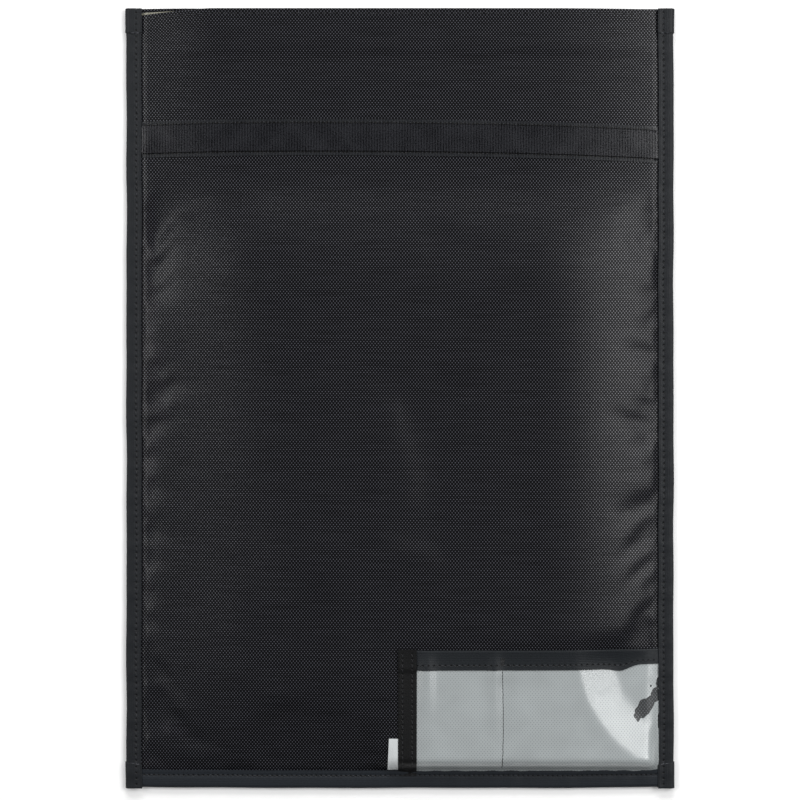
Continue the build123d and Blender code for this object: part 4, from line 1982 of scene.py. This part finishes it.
@dataclass
class HemStitches:
    """The row of stitches that holds one lip's hem.

    Attributes:
        layout: The bag's main lines.
        envelope: The panels.
        face: Which panel's hem it is.
        palette: The materials.
        below_lip: Distance from the mouth's edge to the stitches.
        seam: The stitches.
    """

    layout: Layout
    envelope: Envelope
    face: Face
    palette: Palette
    below_lip: float = 3.5 * MM
    seam: Seam = Seam(pitch=3.6 * MM, length=2.4 * MM, width=0.5 * MM, height=0.15 * MM)

    def build(self) -> None:
        """Builds the row."""
        plan = self.layout
        surface = self.envelope.front if self.face is Face.FRONT else self.envelope.back
        y = plan.top - self.below_lip
        row = self.seam.row(f"{self.face.name.lower()}_hem_stitches",
                            y, (-plan.side_inner, plan.side_inner))
        where = points(row)
        where[:, 2] += surface(where[:, 0], where[:, 1])
        if self.face is Face.FRONT:
            where[:, 1] -= self.envelope.lip_shift(where[:, 0], where[:, 1])
        place(row, where)
        finish_piece(row, self.palette.thread, body="lip_band")


# ---------------------------------------------------------------------------------------------
# Stage
# ---------------------------------------------------------------------------------------------


@dataclass
class Studio:
    """A white table, soft lamps round it and a camera straight above.

    Attributes:
        frame_width: The width that the camera takes in.
        focal_mm: The lens's focal length.
        sensor_mm: The sensor's width.
        centre_y: What the camera is above, along the bag.
        framed_height: The height at which frame_width is measured.
        table_size: The table's length and width.
        table_drop: How far the table is below what the bag lies on, for the back's stitches.
        world_strength: How bright the light from all round is.
        lamps: Each softbox's name, place, size and watts.
    """

    frame_width: float = 552.8 * MM
    focal_mm: float = 100.0
    sensor_mm: float = 36.0
    centre_y: float = -1.1 * MM
    framed_height: float = 4.6 * MM
    table_size: float = 40.0
    table_drop: float = 0.4 * MM
    world_strength: float = 0.18
    lamps: tuple[tuple[str, tuple, tuple, float], ...] = (
        ("top_softbox", (0.0, 2.6, 1.85), (2.0, 1.0), 62.0),
        ("right_softbox", (1.5, 0.45, 1.9), (1.7, 1.1), 42.0),
        ("left_softbox", (-1.5, 0.3, 1.7), (1.2, 0.7), 19.0),
    )

    def build(self) -> None:
        """Sets the table, the lamps, the world and the camera."""
        self._table()
        for lamp in self.lamps:
            self._lamp(*lamp)
        self._world()
        self._camera()

    def _table(self) -> None:
        """The table top."""
        deselect()
        bpy.ops.mesh.primitive_plane_add(size=self.table_size, location=(0.0, 0.0, -self.table_drop))
        table = bpy.context.active_object
        table.name = "table_top"
        material, _, shader = start_material("white_laminate")
        set_shader(shader, {}, {"Base Color": linear("F7F7F7"), "Roughness": 0.6,
                                "Specular IOR Level": 0.2})
        table.data.materials.append(material)

    def _lamp(self, name: str, where: tuple, size: tuple, watts: float) -> None:
        """A softbox aimed at the bag."""
        data = bpy.data.lights.new(name, "AREA")
        data.shape = "RECTANGLE"
        data.size, data.size_y = size
        data.energy = watts
        lamp = bpy.data.objects.new(name, data)
        lamp.location = where
        lamp.rotation_euler = (-Vector(where)).to_track_quat("-Z", "Y").to_euler()
        bpy.context.scene.collection.objects.link(lamp)

    def _world(self) -> None:
        """Soft white light from all round."""
        world = bpy.data.worlds.new("white_room")
        world.use_nodes = True
        background = world.node_tree.nodes["Background"]
        background.inputs["Color"].default_value = (1.0, 1.0, 1.0, 1.0)
        background.inputs["Strength"].default_value = self.world_strength
        bpy.context.scene.world = world
        bpy.context.scene.view_settings.view_transform = "Standard"

    def _camera(self) -> None:
        """A long lens straight above the bag."""
        data = bpy.data.cameras.new("camera")
        data.lens = self.focal_mm
        data.sensor_width = self.sensor_mm
        camera = bpy.data.objects.new("camera", data)
        distance = self.frame_width * self.focal_mm / self.sensor_mm
        camera.location = (0.0, self.centre_y, distance + self.framed_height)
        bpy.context.scene.collection.objects.link(camera)
        bpy.context.scene.camera = camera


def make_palette() -> Palette:
    """Makes every material."""
    clings = (
        Cling(169.0, -213.6, 4.8, 10.0, -38.0),
        Cling(176.5, -205.0, 3.2, 5.0),
        Cling(179.0, -196.5, 2.0, 3.8),
        Cling(179.3, -222.0, 1.4, 6.0),
        Cling(173.2, -198.6, 0.8, 0.8),
    )
    side = NeedleHoles((3.5, 20.9), SideBinding.seam.pitch / MM)
    bottom = NeedleHoles((3.5, 23.3), BottomBinding.seam.pitch / MM)
    pocket = NeedleHoles((CardPocket.top_stitch_inset / MM,), CardPocket.seam.pitch / MM)
    pocket_side = NeedleHoles(tuple(inset / MM for inset in CardPocket.side_stitch_insets),
                              CardPocket.side_seam.pitch / MM)
    fastener = NeedleHoles((2.5, 22.5), FastenerTape.seam.pitch / MM, hole_mm=1.5)
    return Palette(
        shell=CoatedNylon().build(),
        lining=GlassCloth().build(),
        side_tape=Webbing("side_binding_tape", side).build(),
        bottom_tape=Webbing("bottom_binding_tape", bottom, light="21262C", dark="111418").build(),
        tuck_tape=Webbing("tucked_binding_tape", NeedleHoles((3.9,), side.pitch_mm)).build(),
        pocket_top_tape=Webbing("pocket_top_tape", pocket, light="1E2226", dark="0F1215").build(),
        pocket_left_tape=Webbing("pocket_left_tape", pocket_side, light="0B0C0D", dark="040405").build(),
        loop=Pile(holes=fastener).build(),
        hook=Pile("fastener_hook_pile", fastener, row_mm=1.6, tuft_mm=0.6).build(),
        film=VinylFilm(clings=clings).build(),
        label=SatinLabel().build(),
        thread=SewingThread().build(),
        end_thread=SewingThread("pale_end_thread", light="66686E", dark="404247").build(),
        # Painted shade: the divider and its bar tack are sewn in near-black thread, darker than the real
        # thread, for the shade of the fold at the tack.
        fold_shade_thread=SewingThread("fold_shade_seam_thread", light="0E0F11", dark="050506").build(),
    )


def main() -> None:
    """Builds the bag on its frame, then the studio round it."""
    logging.basicConfig(level=logging.INFO, format="%(name)s: %(message)s")
    Studio().build()
    layout = Layout.from_frame()
    front, back = FrontFace(layout, FrontForm(layout).relax()), BackForm(layout)
    palette = make_palette()
    envelope = Envelope(layout, front, back, palette)
    envelope.build()
    for side in Side:
        SideBinding(layout, side, palette).build()
    BottomBinding(layout, palette).build()
    FastenerTape(layout, "loop_tape", Face.FRONT, front, palette.loop, palette, "bag").build()
    FastenerTape(layout, "hook_tape", Face.BACK, back, palette.hook, palette, "lip_band").build()
    CardPocket(layout, front, palette).build()
    CareLabel(front, palette).build()
    for face in Face:
        HemStitches(layout, envelope, face, palette).build()


if __name__ == "__main__":
    main()
